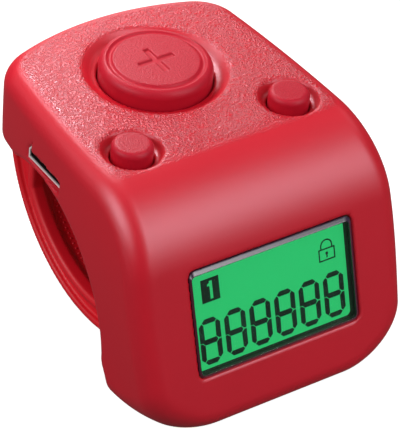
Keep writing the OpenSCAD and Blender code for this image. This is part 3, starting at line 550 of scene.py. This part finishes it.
def grained_top(material, low, high, depth, grain, plain, shiny, shade):
    """Grain between two heights in millimetres, its peaks rubbed from plain to shiny, its pits darkened
    with painted shade.
    """
    nodes, links = material.node_tree.nodes, material.node_tree.links
    shader = nodes["Principled BSDF"]
    relief = next(n for n in nodes if n.type == "GROUP" and n.node_tree.name == "Moulded grain")
    relief.inputs["Depth"].default_value = depth
    relief.inputs["Grain"].default_value = grain
    links.new(height_mask(nodes, links, low * MM, high * MM), relief.inputs["Mask"])
    gloss = nodes.new("ShaderNodeMapRange")
    gloss.inputs["To Min"].default_value = plain
    gloss.inputs["To Max"].default_value = shiny
    links.new(relief.outputs["Peaks"], gloss.inputs["Value"])
    links.new(gloss.outputs["Result"], shader.inputs["Roughness"])
    # Painted shade: the grain's pits are mixed towards a dark colour, by the share given as shade
    weak = maths(nodes, links, "MULTIPLY", relief.outputs["Pits"], shade)
    tone = shader.inputs["Base Color"].links[0].from_node
    pit_shade_colour = [c * 0.3 for c in tone.inputs["Dark"].default_value[:3]] + [1]
    links.new(mixed(nodes, links, "RGBA", weak, tone.outputs["Color"], pit_shade_colour), shader.inputs["Base Color"])


def housing_finish(colour):
    """Plastic of the housing, grained on its flat top, with painted shade in the grain's pits."""
    material = finish_of("Housing plastic", colour, roughness=0.38, drift=0.04, fine=0.04, bump=0.00016,
                         Specular_IOR_Level=0.75, Specular_Tint=PINK_SHEEN)
    grained_top(material, BODY_H - 0.22, BODY_H - 0.01, depth=0.48, grain=4000.0,
                plain=0.38, shiny=0.24, shade=0.45)
    return material


def key_finish(name, colour, top):
    """Plastic of a key, finely grained on its top, with painted shade in the grain's pits."""
    material = finish_of(name, colour, roughness=0.46, drift=0.04, fine=0.05, bump=0.0001,
                         Specular_IOR_Level=0.25, Specular_Tint=PINK_SHEEN)
    grained_top(material, top - 0.06, top - 0.01, depth=0.2, grain=4600.0,
                plain=0.46, shiny=0.36, shade=0.2)
    return material


def dress(node, material):
    """Gives a CAD node its material."""
    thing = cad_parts[node]
    thing.data.materials.clear()
    thing.data.materials.append(material)


class CounterSettings(bpy.types.PropertyGroup):
    housing_colour: FloatVectorProperty(
        name="Housing colour", description="Plastic of the housing", subtype="COLOR", size=3,
        min=0, max=1, default=(0.53, 0.003, 0.014),
    )
    key_colour: FloatVectorProperty(
        name="Key colour", description="Plastic of the three keys", subtype="COLOR", size=3,
        min=0, max=1, default=(0.41, 0.005, 0.018),
    )
    strap_colour: FloatVectorProperty(
        name="Strap colour", description="Silicone of the finger loop", subtype="COLOR", size=3,
        min=0, max=1, default=(0.68, 0.003, 0.014),
    )
    # The ground's glow is the backlight's, and partly painted light in place of the lamp light that the
    # window keeps out
    display_colour: FloatVectorProperty(
        name="Display colour", description="Backlit ground of the display", subtype="COLOR", size=3,
        min=0, max=1, default=(0.023, 0.565, 0.159),
    )
    segment_colour: FloatVectorProperty(
        name="Segment colour", description="Dark segments of the display", subtype="COLOR", size=3,
        min=0, max=1, default=(0.012, 0.05, 0.03),
    )
    housing_step: FloatProperty(
        name="Housing mesh step", description="Spacing of the housing's mesh", subtype="DISTANCE",
        min=0.0002, max=0.001, default=0.00034,
    )
    digit_count: IntProperty(name="Digits", description="Digits in the display", min=1, max=8, default=6)


def settings():
    """The sizes and colours that the panel shows."""
    return bpy.context.scene.tally_counter


class COUNTER_OT_housing(bpy.types.Operator):
    """Make the moulded housing"""

    bl_idname = "counter.housing"
    bl_label = "Housing"

    def execute(self, context):
        s = settings()
        moulded("housing_shell", housing_field, *HOUSING_BOX, s.housing_step / MM,
                housing_finish(s.housing_colour), "housing", "shell", "top_shell")
        dress("base_cover", finish_of("Cover plastic", s.housing_colour, roughness=0.4))
        return {"FINISHED"}


class COUNTER_OT_keys(bpy.types.Operator):
    """Make the three keys"""

    bl_idname = "counter.keys"
    bl_label = "Keys"

    def execute(self, context):
        s = settings()
        large = key_finish("Count key plastic", s.key_colour, COUNT_TOP)
        small = key_finish("Small key plastic", s.key_colour, SMALL_TOP)
        r = COUNT_R + 1.4
        moulded("count_button", count_key_field, (-r, COUNT_Y - r, 24.4), (r, COUNT_Y + r, 29.2),
                0.12, large, "count_key", "key", "count_key")
        r = SMALL_R + 1.4
        for name, side in (("reset", -1), ("lock", 1)):
            x = side * SMALL_X
            moulded(name + "_button", small_key_field(x), (x - r, SMALL_Y - r, 24.6),
                    (x + r, SMALL_Y + r, 28.8), 0.11, small, name + "_key", "key", name + "_key")
        return {"FINISHED"}


def dot_tree(material):
    """Node tree: rows of small domes on the inside of a cylinder that lies along X."""
    tree = bpy.data.node_groups.new("Rows of dots", "GeometryNodeTree")
    face = tree.interface
    for label, kind in (("Columns", "Int"), ("Rows", "Int"), ("Pitch", "Float"), ("Radius", "Float"),
                        ("Axis Y", "Float"), ("Axis Z", "Float"), ("Middle", "Float"), ("Dot", "Float")):
        face.new_socket(label, in_out="INPUT", socket_type="NodeSocket" + kind)
    face.new_socket("Geometry", in_out="OUTPUT", socket_type="NodeSocketGeometry")
    nodes, links = tree.nodes, tree.links
    given, out = nodes.new("NodeGroupInput"), nodes.new("NodeGroupOutput")

    def span(count):
        steps = maths(nodes, links, "SUBTRACT", given.outputs[count], 1)
        return maths(nodes, links, "MULTIPLY", steps, given.outputs["Pitch"])

    grid = nodes.new("GeometryNodeMeshGrid")
    links.new(span("Columns"), grid.inputs["Size X"])
    links.new(span("Rows"), grid.inputs["Size Y"])
    links.new(given.outputs["Columns"], grid.inputs["Vertices X"])
    links.new(given.outputs["Rows"], grid.inputs["Vertices Y"])
    place, split = nodes.new("GeometryNodeInputPosition"), nodes.new("ShaderNodeSeparateXYZ")
    links.new(place.outputs[0], split.inputs[0])
    turned = maths(nodes, links, "DIVIDE", split.outputs["Y"], given.outputs["Radius"])
    angle = maths(nodes, links, "ADD", turned, given.outputs["Middle"])
    bent = nodes.new("ShaderNodeCombineXYZ")
    links.new(split.outputs["X"], bent.inputs["X"])
    for axis, turn in (("Y", "COSINE"), ("Z", "SINE")):
        reach = maths(nodes, links, "MULTIPLY", maths(nodes, links, turn, angle), given.outputs["Radius"])
        links.new(maths(nodes, links, "ADD", reach, given.outputs["Axis " + axis]), bent.inputs[axis])
    bend = nodes.new("GeometryNodeSetPosition")
    links.new(grid.outputs["Mesh"], bend.inputs["Geometry"])
    links.new(bent.outputs[0], bend.inputs["Position"])
    dome = nodes.new("GeometryNodeMeshIcoSphere")
    dome.inputs["Subdivisions"].default_value = 2
    links.new(given.outputs["Dot"], dome.inputs["Radius"])
    many = nodes.new("GeometryNodeInstanceOnPoints")
    links.new(bend.outputs["Geometry"], many.inputs["Points"])
    links.new(dome.outputs["Mesh"], many.inputs["Instance"])
    real = nodes.new("GeometryNodeRealizeInstances")
    links.new(many.outputs["Instances"], real.inputs["Geometry"])
    smooth = nodes.new("GeometryNodeSetShadeSmooth")
    links.new(real.outputs["Geometry"], smooth.inputs["Geometry"])
    coat = nodes.new("GeometryNodeSetMaterial")
    coat.inputs["Material"].default_value = material
    links.new(smooth.outputs["Geometry"], coat.inputs["Geometry"])
    links.new(coat.outputs["Geometry"], out.inputs["Geometry"])
    return tree


def from_nodes(name, tree, values):
    """Plain mesh object from a Geometry Nodes tree and its named inputs."""
    carrier = bpy.data.objects.new(name, bpy.data.meshes.new(name + "_carrier"))
    bpy.context.scene.collection.objects.link(carrier)
    modifier = carrier.modifiers.new("Nodes", "NODES")
    modifier.node_group = tree
    for item in tree.interface.items_tree:
        if item.item_type == "SOCKET" and item.in_out == "INPUT":
            modifier[item.identifier] = values[item.name]
    depsgraph = bpy.context.evaluated_depsgraph_get()
    mesh = bpy.data.meshes.new_from_object(carrier.evaluated_get(depsgraph), depsgraph=depsgraph)
    carrier.modifiers.remove(modifier)
    mesh.name = name
    if not mesh.polygons:
        raise RuntimeError(name + " came out empty")
    carrier.data = mesh
    return carrier


class COUNTER_OT_strap(bpy.types.Operator):
    """Make the finger loop"""

    bl_idname = "counter.strap"
    bl_label = "Finger loop"

    def execute(self, context):
        s = settings()
        rubber = finish_of("Strap silicone", s.strap_colour, roughness=0.5, drift=0.05, fine=0.06,
                           bump=0.0001)
        moulded("finger_loop", strap_field, (-12.4, -16, -0.5), (12.4, 21, 18.4),
                0.24, rubber, "housing", "strap", "strap")
        dots = from_nodes("loop_dots", dot_tree(rubber), {
            "Columns": DOT_COLUMNS, "Rows": DOT_ROWS, "Pitch": DOT_PITCH * MM, "Middle": DOT_MIDDLE,
            "Axis Y": STRAP_Y * MM, "Axis Z": STRAP_Z * MM, "Radius": (STRAP_WEB_R + 0.04) * MM,
            "Dot": DOT_R * MM,
        })
        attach(dots, "housing")
        return {"FINISHED"}


def plates(name, outlines, depth, thickness, material):
    """Flat plates on the display face, each from its outline, with its holes as separate loops."""
    points, faces = [], []
    for outline in outlines:
        n, at = len(outline), len(points)
        points += [on_face(u, v, depth) for u, v in outline]
        points += [on_face(u, v, depth - thickness) for u, v in outline]
        faces.append(list(range(at, at + n)))
        faces.append(list(range(at + 2 * n - 1, at + n - 1, -1)))
        faces += [[at + i, at + n + i, at + n + (i + 1) % n, at + (i + 1) % n] for i in range(n)]
    thing = mesh_object(name, points, faces, smooth=False)
    thing.data.materials.append(material)
    return thing


def digit_segments(left, bottom, width, height, bar, gap):
    """Outlines of the seven segments of an eight with chamfered corners."""
    mid, c, g = height / 2, bar * 1.25, gap * 0.35
    half, thin = bar / 2, gap * 0.3
    right = width - bar
    out = []
    for y, s in ((height, -1), (0, 1)):
        slant, inner = y + s * (c / 2 - g), y + s * (bar - g)
        out.append([(c / 2 + g, slant), (c, y), (width - c, y), (width - c / 2 - g, slant),
                    (right - g, inner), (bar + g, inner)])
    out.append([(half, mid + thin), (bar, mid + half), (right, mid + half), (width - half - gap, mid),
                (right, mid - half), (bar, mid - half)])
    for x, t, near in ((0, 1, 0.0), (width, -1, gap)):
        for y, s, low in ((height, -1, near), (0, 1, gap)):
            out.append([(x, y + s * c), (x + t * (c / 2 - g), y + s * (c / 2 + g)),
                        (x + t * (bar - g), y + s * (bar + g)), (x + t * bar, mid - s * (half + low * 0.6)),
                        (x + t * half * 0.9, mid - s * (low * 0.6)), (x, mid - s * (low * 0.5 + 0.02))])
    return [[(left + u, bottom + v) for u, v in line] for line in out]


def arc(cx, cy, r, start, end, n):
    """Points of an arc, its angles in degrees."""
    return [(cx + r * math.cos(a), cy + r * math.sin(a)) for a in np.radians(np.linspace(start, end, n))]


def band(line, width):
    """Outlines of the short pieces of a line with a width."""
    out = []
    for (x0, y0), (x1, y1) in zip(line[:-1], line[1:]):
        d = math.hypot(x1 - x0, y1 - y0)
        nx, ny = -(y1 - y0) / d * width / 2, (x1 - x0) / d * width / 2
        ex, ey = (x1 - x0) / d * width / 2, (y1 - y0) / d * width / 2
        out.append([(x0 + nx - ex, y0 + ny - ey), (x0 - nx - ex, y0 - ny - ey),
                    (x1 - nx + ex, y1 - ny + ey), (x1 + nx + ex, y1 + ny + ey)])
    return out


def boxed_one(left, low, high):
    """Outlines of a dark box that leave a light figure one in it."""
    stem, edge, right = left + 0.82, left + 1.5, left + 2.4
    foot, head, flag = low + 0.3, high - 0.36, left + 1.12
    return [
        [(left, low), (stem, low), (stem, high), (left, high)],
        [(edge, low), (right, low), (right, high), (edge, high)],
        [(stem, low), (edge, low), (edge, foot), (stem, foot)],
        [(stem, head), (edge, head), (edge, high), (stem, high)],
        [(stem, foot), (flag, foot), (flag, high - 0.95), (stem, high - 0.95)],
        [(stem, high - 0.72), (left + 1.1, high - 0.56), (left + 1.1, head), (stem, head)],
    ]


def padlock(x, low, high, half, bow_r, line):
    """Outlines of a closed padlock: body, bow and keyhole."""
    body = [(x - half, low), (x + half, low), (x + half, high), (x - half, high), (x - half, low)]
    bow = [(x - bow_r, high), *arc(x, high + 0.35, bow_r, 180, 0, 12), (x + bow_r, high)]
    slot = [(x - 0.09, low + 0.28), (x + 0.09, low + 0.28), (x + 0.09, low + 0.78), (x - 0.09, low + 0.78)]
    return [*band(body, line), *band(bow, line), arc(x, low + 0.8, 0.2, 0, 324, 10), slot]


class COUNTER_OT_display(bpy.types.Operator):
    """Make the window, the lit ground and its segments"""

    bl_idname = "counter.display"
    bl_label = "Display"

    def execute(self, context):
        s = settings()
        # The ground glows as the backlight does, and its glow is also painted light: it stands in for the
        # lamp light that the clear window keeps from the ground
        green = finish_of("Display ground", tuple(0.3 * c for c in s.display_colour), roughness=0.6,
                          drift=0.03, fine=0.0, Emission_Strength=0.85, Specular_IOR_Level=0.0,
                          Emission_Color=(*s.display_colour, 1))
        dark = finish_of("Display segments", s.segment_colour, roughness=0.6, drift=0.05, fine=0.0,
                         Specular_IOR_Level=0.0)
        half_w, half_h = LENS_W / 2 - 0.02, LENS_H / 2 - 0.02
        outline = rounded_outline((-half_w, half_w, -half_h, half_h, 0.7))
        ground = plates("display_ground", [outline], GROUND_W, GROUND_T, green)
        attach(ground, "housing")
        shapes = []
        for i in range(s.digit_count):
            left = DIGIT_LEFT + i * DIGIT_PITCH
            shapes += digit_segments(left, DIGIT_LOW, DIGIT_W, DIGIT_H, DIGIT_BAR, DIGIT_GAP)
        shapes += boxed_one(-9.14, 1.9, 4.74)
        shapes += padlock(7.87, 1.72, 3.1, 1.05, 0.75, 0.17)
        marks = plates("display_segments", shapes, GROUND_W + MARK_LIFT, MARK_T, dark)
        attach(marks, "housing")
        glass = bpy.data.materials.new("Window clear")
        glass.use_nodes = True
        shader = glass.node_tree.nodes["Principled BSDF"]
        shader.inputs["Base Color"].default_value = (1, 1, 1, 1)
        shader.inputs["Roughness"].default_value = 0.02
        shader.inputs["IOR"].default_value = 1.49
        shader.inputs["Transmission Weight"].default_value = 1.0
        black = finish_of("Window mask", (0.004, 0.003, 0.004), roughness=0.5, Specular_IOR_Level=0.2)
        # The walls of the window and of its rim that face each other are black
        window = lens_mesh("display_window", LENS_FRONT, LENS_BACK)
        side_walls(window, 2, glass, black)
        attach(window, "housing")
        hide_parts("display_lens")
        polished = finish_of("Window rim", (0.04, 0.022, 0.045), roughness=0.16, fine=0.02,
                             Specular_IOR_Level=1.0)
        rim = rim_mesh("window_rim", LENS_FRONT, LENS_BACK)
        side_walls(rim, 0, polished, black)
        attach(rim, "housing")
        mask = mask_mesh("window_mask", LENS_BACK - 0.02, GROUND_W + 0.03)
        mask.data.materials.append(black)
        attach(mask, "housing")
        return {"FINISHED"}


def rounded_outline(bounds):
    """Rectangle with round corners: left, right, low, high, radius."""
    left, right, low, high, r = bounds
    n = LOFT_SIDES // 4
    return (arc(right - r, high - r, r, 0, 90, n) + arc(left + r, high - r, r, 90, 180, n)
            + arc(left + r, low + r, r, 180, 270, n) + arc(right - r, low + r, r, 270, 360, n))


def loft(name, rings, closed_ends=True):
    """Skin over round-cornered rectangles on the display face, each with its depth."""
    points, faces, n = [], [], LOFT_SIDES
    for bounds, depth in rings:
        points += [on_face(u, v, depth) for u, v in rounded_outline(bounds)]
    for r in range(len(rings) - 1):
        for i in range(n):
            a, b = r * n + i, r * n + (i + 1) % n
            faces.append([a, a + n, b + n, b])
    if closed_ends:
        faces.append(list(range(n)))
        faces.append(list(range(len(rings) * n - 1, (len(rings) - 1) * n - 1, -1)))
    return mesh_object(name, points, faces, smooth=False)


def side_walls(thing, course, plain, wall):
    """Materials of a loft: wall on one course of its faces, plain on the others."""
    thing.data.materials.append(plain)
    thing.data.materials.append(wall)
    for polygon in thing.data.polygons[course * LOFT_SIDES : (course + 1) * LOFT_SIDES]:
        polygon.material_index = 1


def shrunk(bounds, inset):
    """The rectangle made smaller, least at its left, where the bevel is narrow."""
    left, right, low, high, radius = bounds
    return (left + inset * 0.3, right - inset, low + inset, high - inset, radius - inset * 0.7)


def lens_mesh(name, front, back):
    """Clear window inside its rim."""
    chamfer = ((0.56, 0.0), (0.52, 0.01), (0.5, 0.03))
    rings = [(shrunk(LENS_EDGE, inset), front - drop) for inset, drop in chamfer]
    return loft(name, [*rings, (shrunk(LENS_EDGE, 0.5), back)])


def rim_mesh(name, front, back):
    """Polished bevel round the window."""
    bevel = ((0.49, 0.03), (0.44, 0.035), (0.4, 0.06), (0.1, 0.28), (0.03, 0.34), (0.0, 0.42))
    rings = [(shrunk(LENS_EDGE, inset), front - drop) for inset, drop in bevel]
    inner = shrunk(LENS_EDGE, 0.49)
    return loft(name, [(inner, back), *rings, (LENS_EDGE, back), (inner, back)], closed_ends=False)


def mask_mesh(name, front, back):
    """Dark frame between the window and the display glass."""
    edge = (-LENS_W / 2, LENS_W / 2, -LENS_H / 2, LENS_H / 2, LENS_CORNER_R)
    flange, opening = (-10.8, 10.44, -6.05, 5.92, 0.6), (-10.78, 10.36, -6.0, 5.9, 0.6)
    rings = [(edge, front), (edge, back), (opening, back), (flange, front), (edge, front)]
    return loft(name, rings, closed_ends=False)


class COUNTER_OT_insides(bpy.types.Operator):
    """Finish the boards, socket, battery and screws"""

    bl_idname = "counter.insides"
    bl_label = "Boards, socket and screws"

    def execute(self, context):
        steel = finish_of("Socket steel", (0.95, 0.86, 0.86), roughness=0.42, metallic=0.4, fine=0.03)
        zinc = finish_of("Screw steel", (0.6, 0.6, 0.62), roughness=0.35, metallic=1.0, fine=0.05)
        black = finish_of("Black moulding", (0.012, 0.012, 0.013), roughness=0.45)
        board = finish_of("Solder mask", (0.01, 0.12, 0.04), roughness=0.3, drift=0.15)
        white = finish_of("White moulding", (0.8, 0.8, 0.78), roughness=0.5)
        pale = finish_of("Light guide", (0.7, 0.9, 0.8), roughness=0.2)
        amber = finish_of("Flexible circuit", (0.5, 0.2, 0.02), roughness=0.35)
        foil = finish_of("Battery foil", (0.6, 0.61, 0.63), roughness=0.4, metallic=1.0, fine=0.2)
        tape = finish_of("Adhesive tape", (0.7, 0.62, 0.2), roughness=0.5)
        lead = finish_of("Lead insulation", (0.55, 0.02, 0.02), roughness=0.4)
        rubber = finish_of("Contact rubber", (0.6, 0.3, 0.35), roughness=0.6)
        # Painted shade: the socket's shell is near black behind its mouth, where shade falls inside the
        # socket
        nodes, links = steel.node_tree.nodes, steel.node_tree.links
        base = nodes["Principled BSDF"].inputs["Base Color"]
        inside = height_mask(nodes, links, (PORT_X + 0.06) * MM, (PORT_X + 0.2) * MM, "X")
        bright = base.links[0].from_socket
        links.new(mixed(nodes, links, "RGBA", inside, bright, (0.012, 0.01, 0.01, 1)), base)
        for material, names in (
            (steel, ("usb_socket",)), (zinc, ("base_screws", "board_screws")),
            (black, ("usb_tongue", "count_switch", "reset_switch", "lock_switch", "count_plunger",
                     "reset_plunger", "lock_plunger", "controller_blob", "charge_parts")),
            (board, ("main_board", "display_board")), (white, ("lcd_frame",)),
            (pale, ("light_guide", "backlight_leds", "lcd_cell")), (amber, ("board_ribbon",)),
            (foil, ("battery_cell",)), (tape, ("battery_tape",)), (lead, ("battery_leads",)),
            (rubber, ("contact_strip",)),
        ):
            for name in names:
                dress(name, material)
        return {"FINISHED"}


def soft_light(name, place, target, size, power):
    """Square soft lamp that faces its target and isn't seen by the camera."""
    data = bpy.data.lights.new(name, "AREA")
    data.shape = "RECTANGLE"
    data.size, data.size_y = size, size
    data.energy = power
    lamp = bpy.data.objects.new(name, data)
    lamp.location = place
    lamp.rotation_euler = (Vector(target) - Vector(place)).to_track_quat("-Z", "Y").to_euler()
    lamp.visible_camera = False
    bpy.context.scene.collection.objects.link(lamp)


def seen_level(nodes, links, plain, white):
    """Strength of the background: white to the camera and through glass, soft in reflections."""
    path = nodes.new("ShaderNodeLightPath")
    given = plain
    levels = (("Is Camera Ray", white), ("Is Transmission Ray", white), ("Is Glossy Ray", SHEEN_LEVEL))
    for ray, level in levels:
        given = mixed(nodes, links, "FLOAT", path.outputs[ray], given, level)
    return given


class COUNTER_OT_studio(bpy.types.Operator):
    """Set the camera, the pale floor and the lights"""

    bl_idname = "counter.studio"
    bl_label = "Studio"

    def execute(self, context):
        scene = context.scene
        data = bpy.data.cameras.new("Camera")
        data.sensor_fit = "AUTO"
        data.sensor_width = 36.0
        data.lens = CAMERA_LENS
        data.clip_start, data.clip_end = 0.01, 20
        camera = bpy.data.objects.new("Camera", data)
        turn = Matrix((CAMERA_RIGHT, CAMERA_UP, CAMERA_BACK)).transposed().to_4x4()
        camera.matrix_world = Matrix.Translation(CAMERA_AT) @ turn
        scene.collection.objects.link(camera)
        scene.camera = camera
        signs = ((-1, -1), (1, -1), (1, 1), (-1, 1))
        corners = [(x * FLOOR_HALF, y * FLOOR_HALF, -FLOOR_DROP) for x, y in signs]
        floor = mesh_object("floor", corners, [[0, 1, 2, 3]], smooth=False)
        paper = bpy.data.materials.new("Pale paper")
        paper.use_nodes = True
        nodes, links = paper.node_tree.nodes, paper.node_tree.links
        shader = nodes["Principled BSDF"]
        shader.inputs["Roughness"].default_value = 0.9
        shader.inputs["Specular IOR Level"].default_value = 0.0
        shader.inputs["Emission Color"].default_value = (1, 1, 1, 1)
        # Dark to the object, so that no red light comes back from it; paler to the camera, for the shadow
        seen = nodes.new("ShaderNodeLightPath").outputs["Is Camera Ray"]
        tint = mixed(nodes, links, "RGBA", seen, (0.04, 0.04, 0.04, 1), (0.3, 0.3, 0.3, 1))
        links.new(tint, shader.inputs["Base Color"])
        links.new(seen_level(nodes, links, FLOOR_LEVEL, FLOOR_WHITE), shader.inputs["Emission Strength"])
        floor.data.materials.append(paper)
        world = bpy.data.worlds.new("Studio")
        world.use_nodes = True
        nodes, links = world.node_tree.nodes, world.node_tree.links
        back = nodes["Background"]
        links.new(seen_level(nodes, links, WORLD_LEVEL, WORLD_WHITE), back.inputs["Strength"])
        back.inputs["Color"].default_value = (1, 1, 1, 1)
        scene.world = world
        for name, height, bearing, power in STUDIO_LAMPS:
            up, turn = math.radians(height), math.radians(bearing)
            aim = Vector((math.cos(up) * math.cos(turn), math.cos(up) * math.sin(turn), math.sin(up)))
            soft_light(name, Vector(LAMP_AIM) + LAMP_REACH * aim, LAMP_AIM, LAMP_SIZE, power)
        for name, x, y, z, size, power in GLARE_LAMPS:
            soft_light(name, (x, y, z), GLARE_AIM, size, power)
        scene.view_settings.view_transform = "Standard"
        return {"FINISHED"}


class COUNTER_PT_panel(bpy.types.Panel):
    """Sizes, colours and pieces of the counter"""

    bl_idname = "COUNTER_PT_panel"
    bl_label = "Tally Counter"
    bl_space_type = "VIEW_3D"
    bl_region_type = "UI"
    bl_category = "Tally Counter"

    def draw(self, context):
        for name in CounterSettings.__annotations__:
            self.layout.prop(settings(), name)
        for step in STEPS:
            self.layout.operator(step.bl_idname)


STEPS = (COUNTER_OT_housing, COUNTER_OT_keys, COUNTER_OT_strap, COUNTER_OT_display, COUNTER_OT_insides,
         COUNTER_OT_studio)
CLASSES = (CounterSettings, *STEPS, COUNTER_PT_panel)


def register():
    """Registers the add-on's classes and its settings."""
    for cls in CLASSES:
        bpy.utils.register_class(cls)
    bpy.types.Scene.tally_counter = PointerProperty(type=CounterSettings)


def unregister():
    """Takes the settings and the classes out again."""
    del bpy.types.Scene.tally_counter
    for cls in reversed(CLASSES):
        bpy.utils.unregister_class(cls)


def main():
    """Makes every piece and the stage."""
    register()
    bpy.ops.counter.housing()
    bpy.ops.counter.keys()
    bpy.ops.counter.strap()
    bpy.ops.counter.display()
    bpy.ops.counter.insides()
    bpy.ops.counter.studio()


if __name__ == "__main__":
    main()
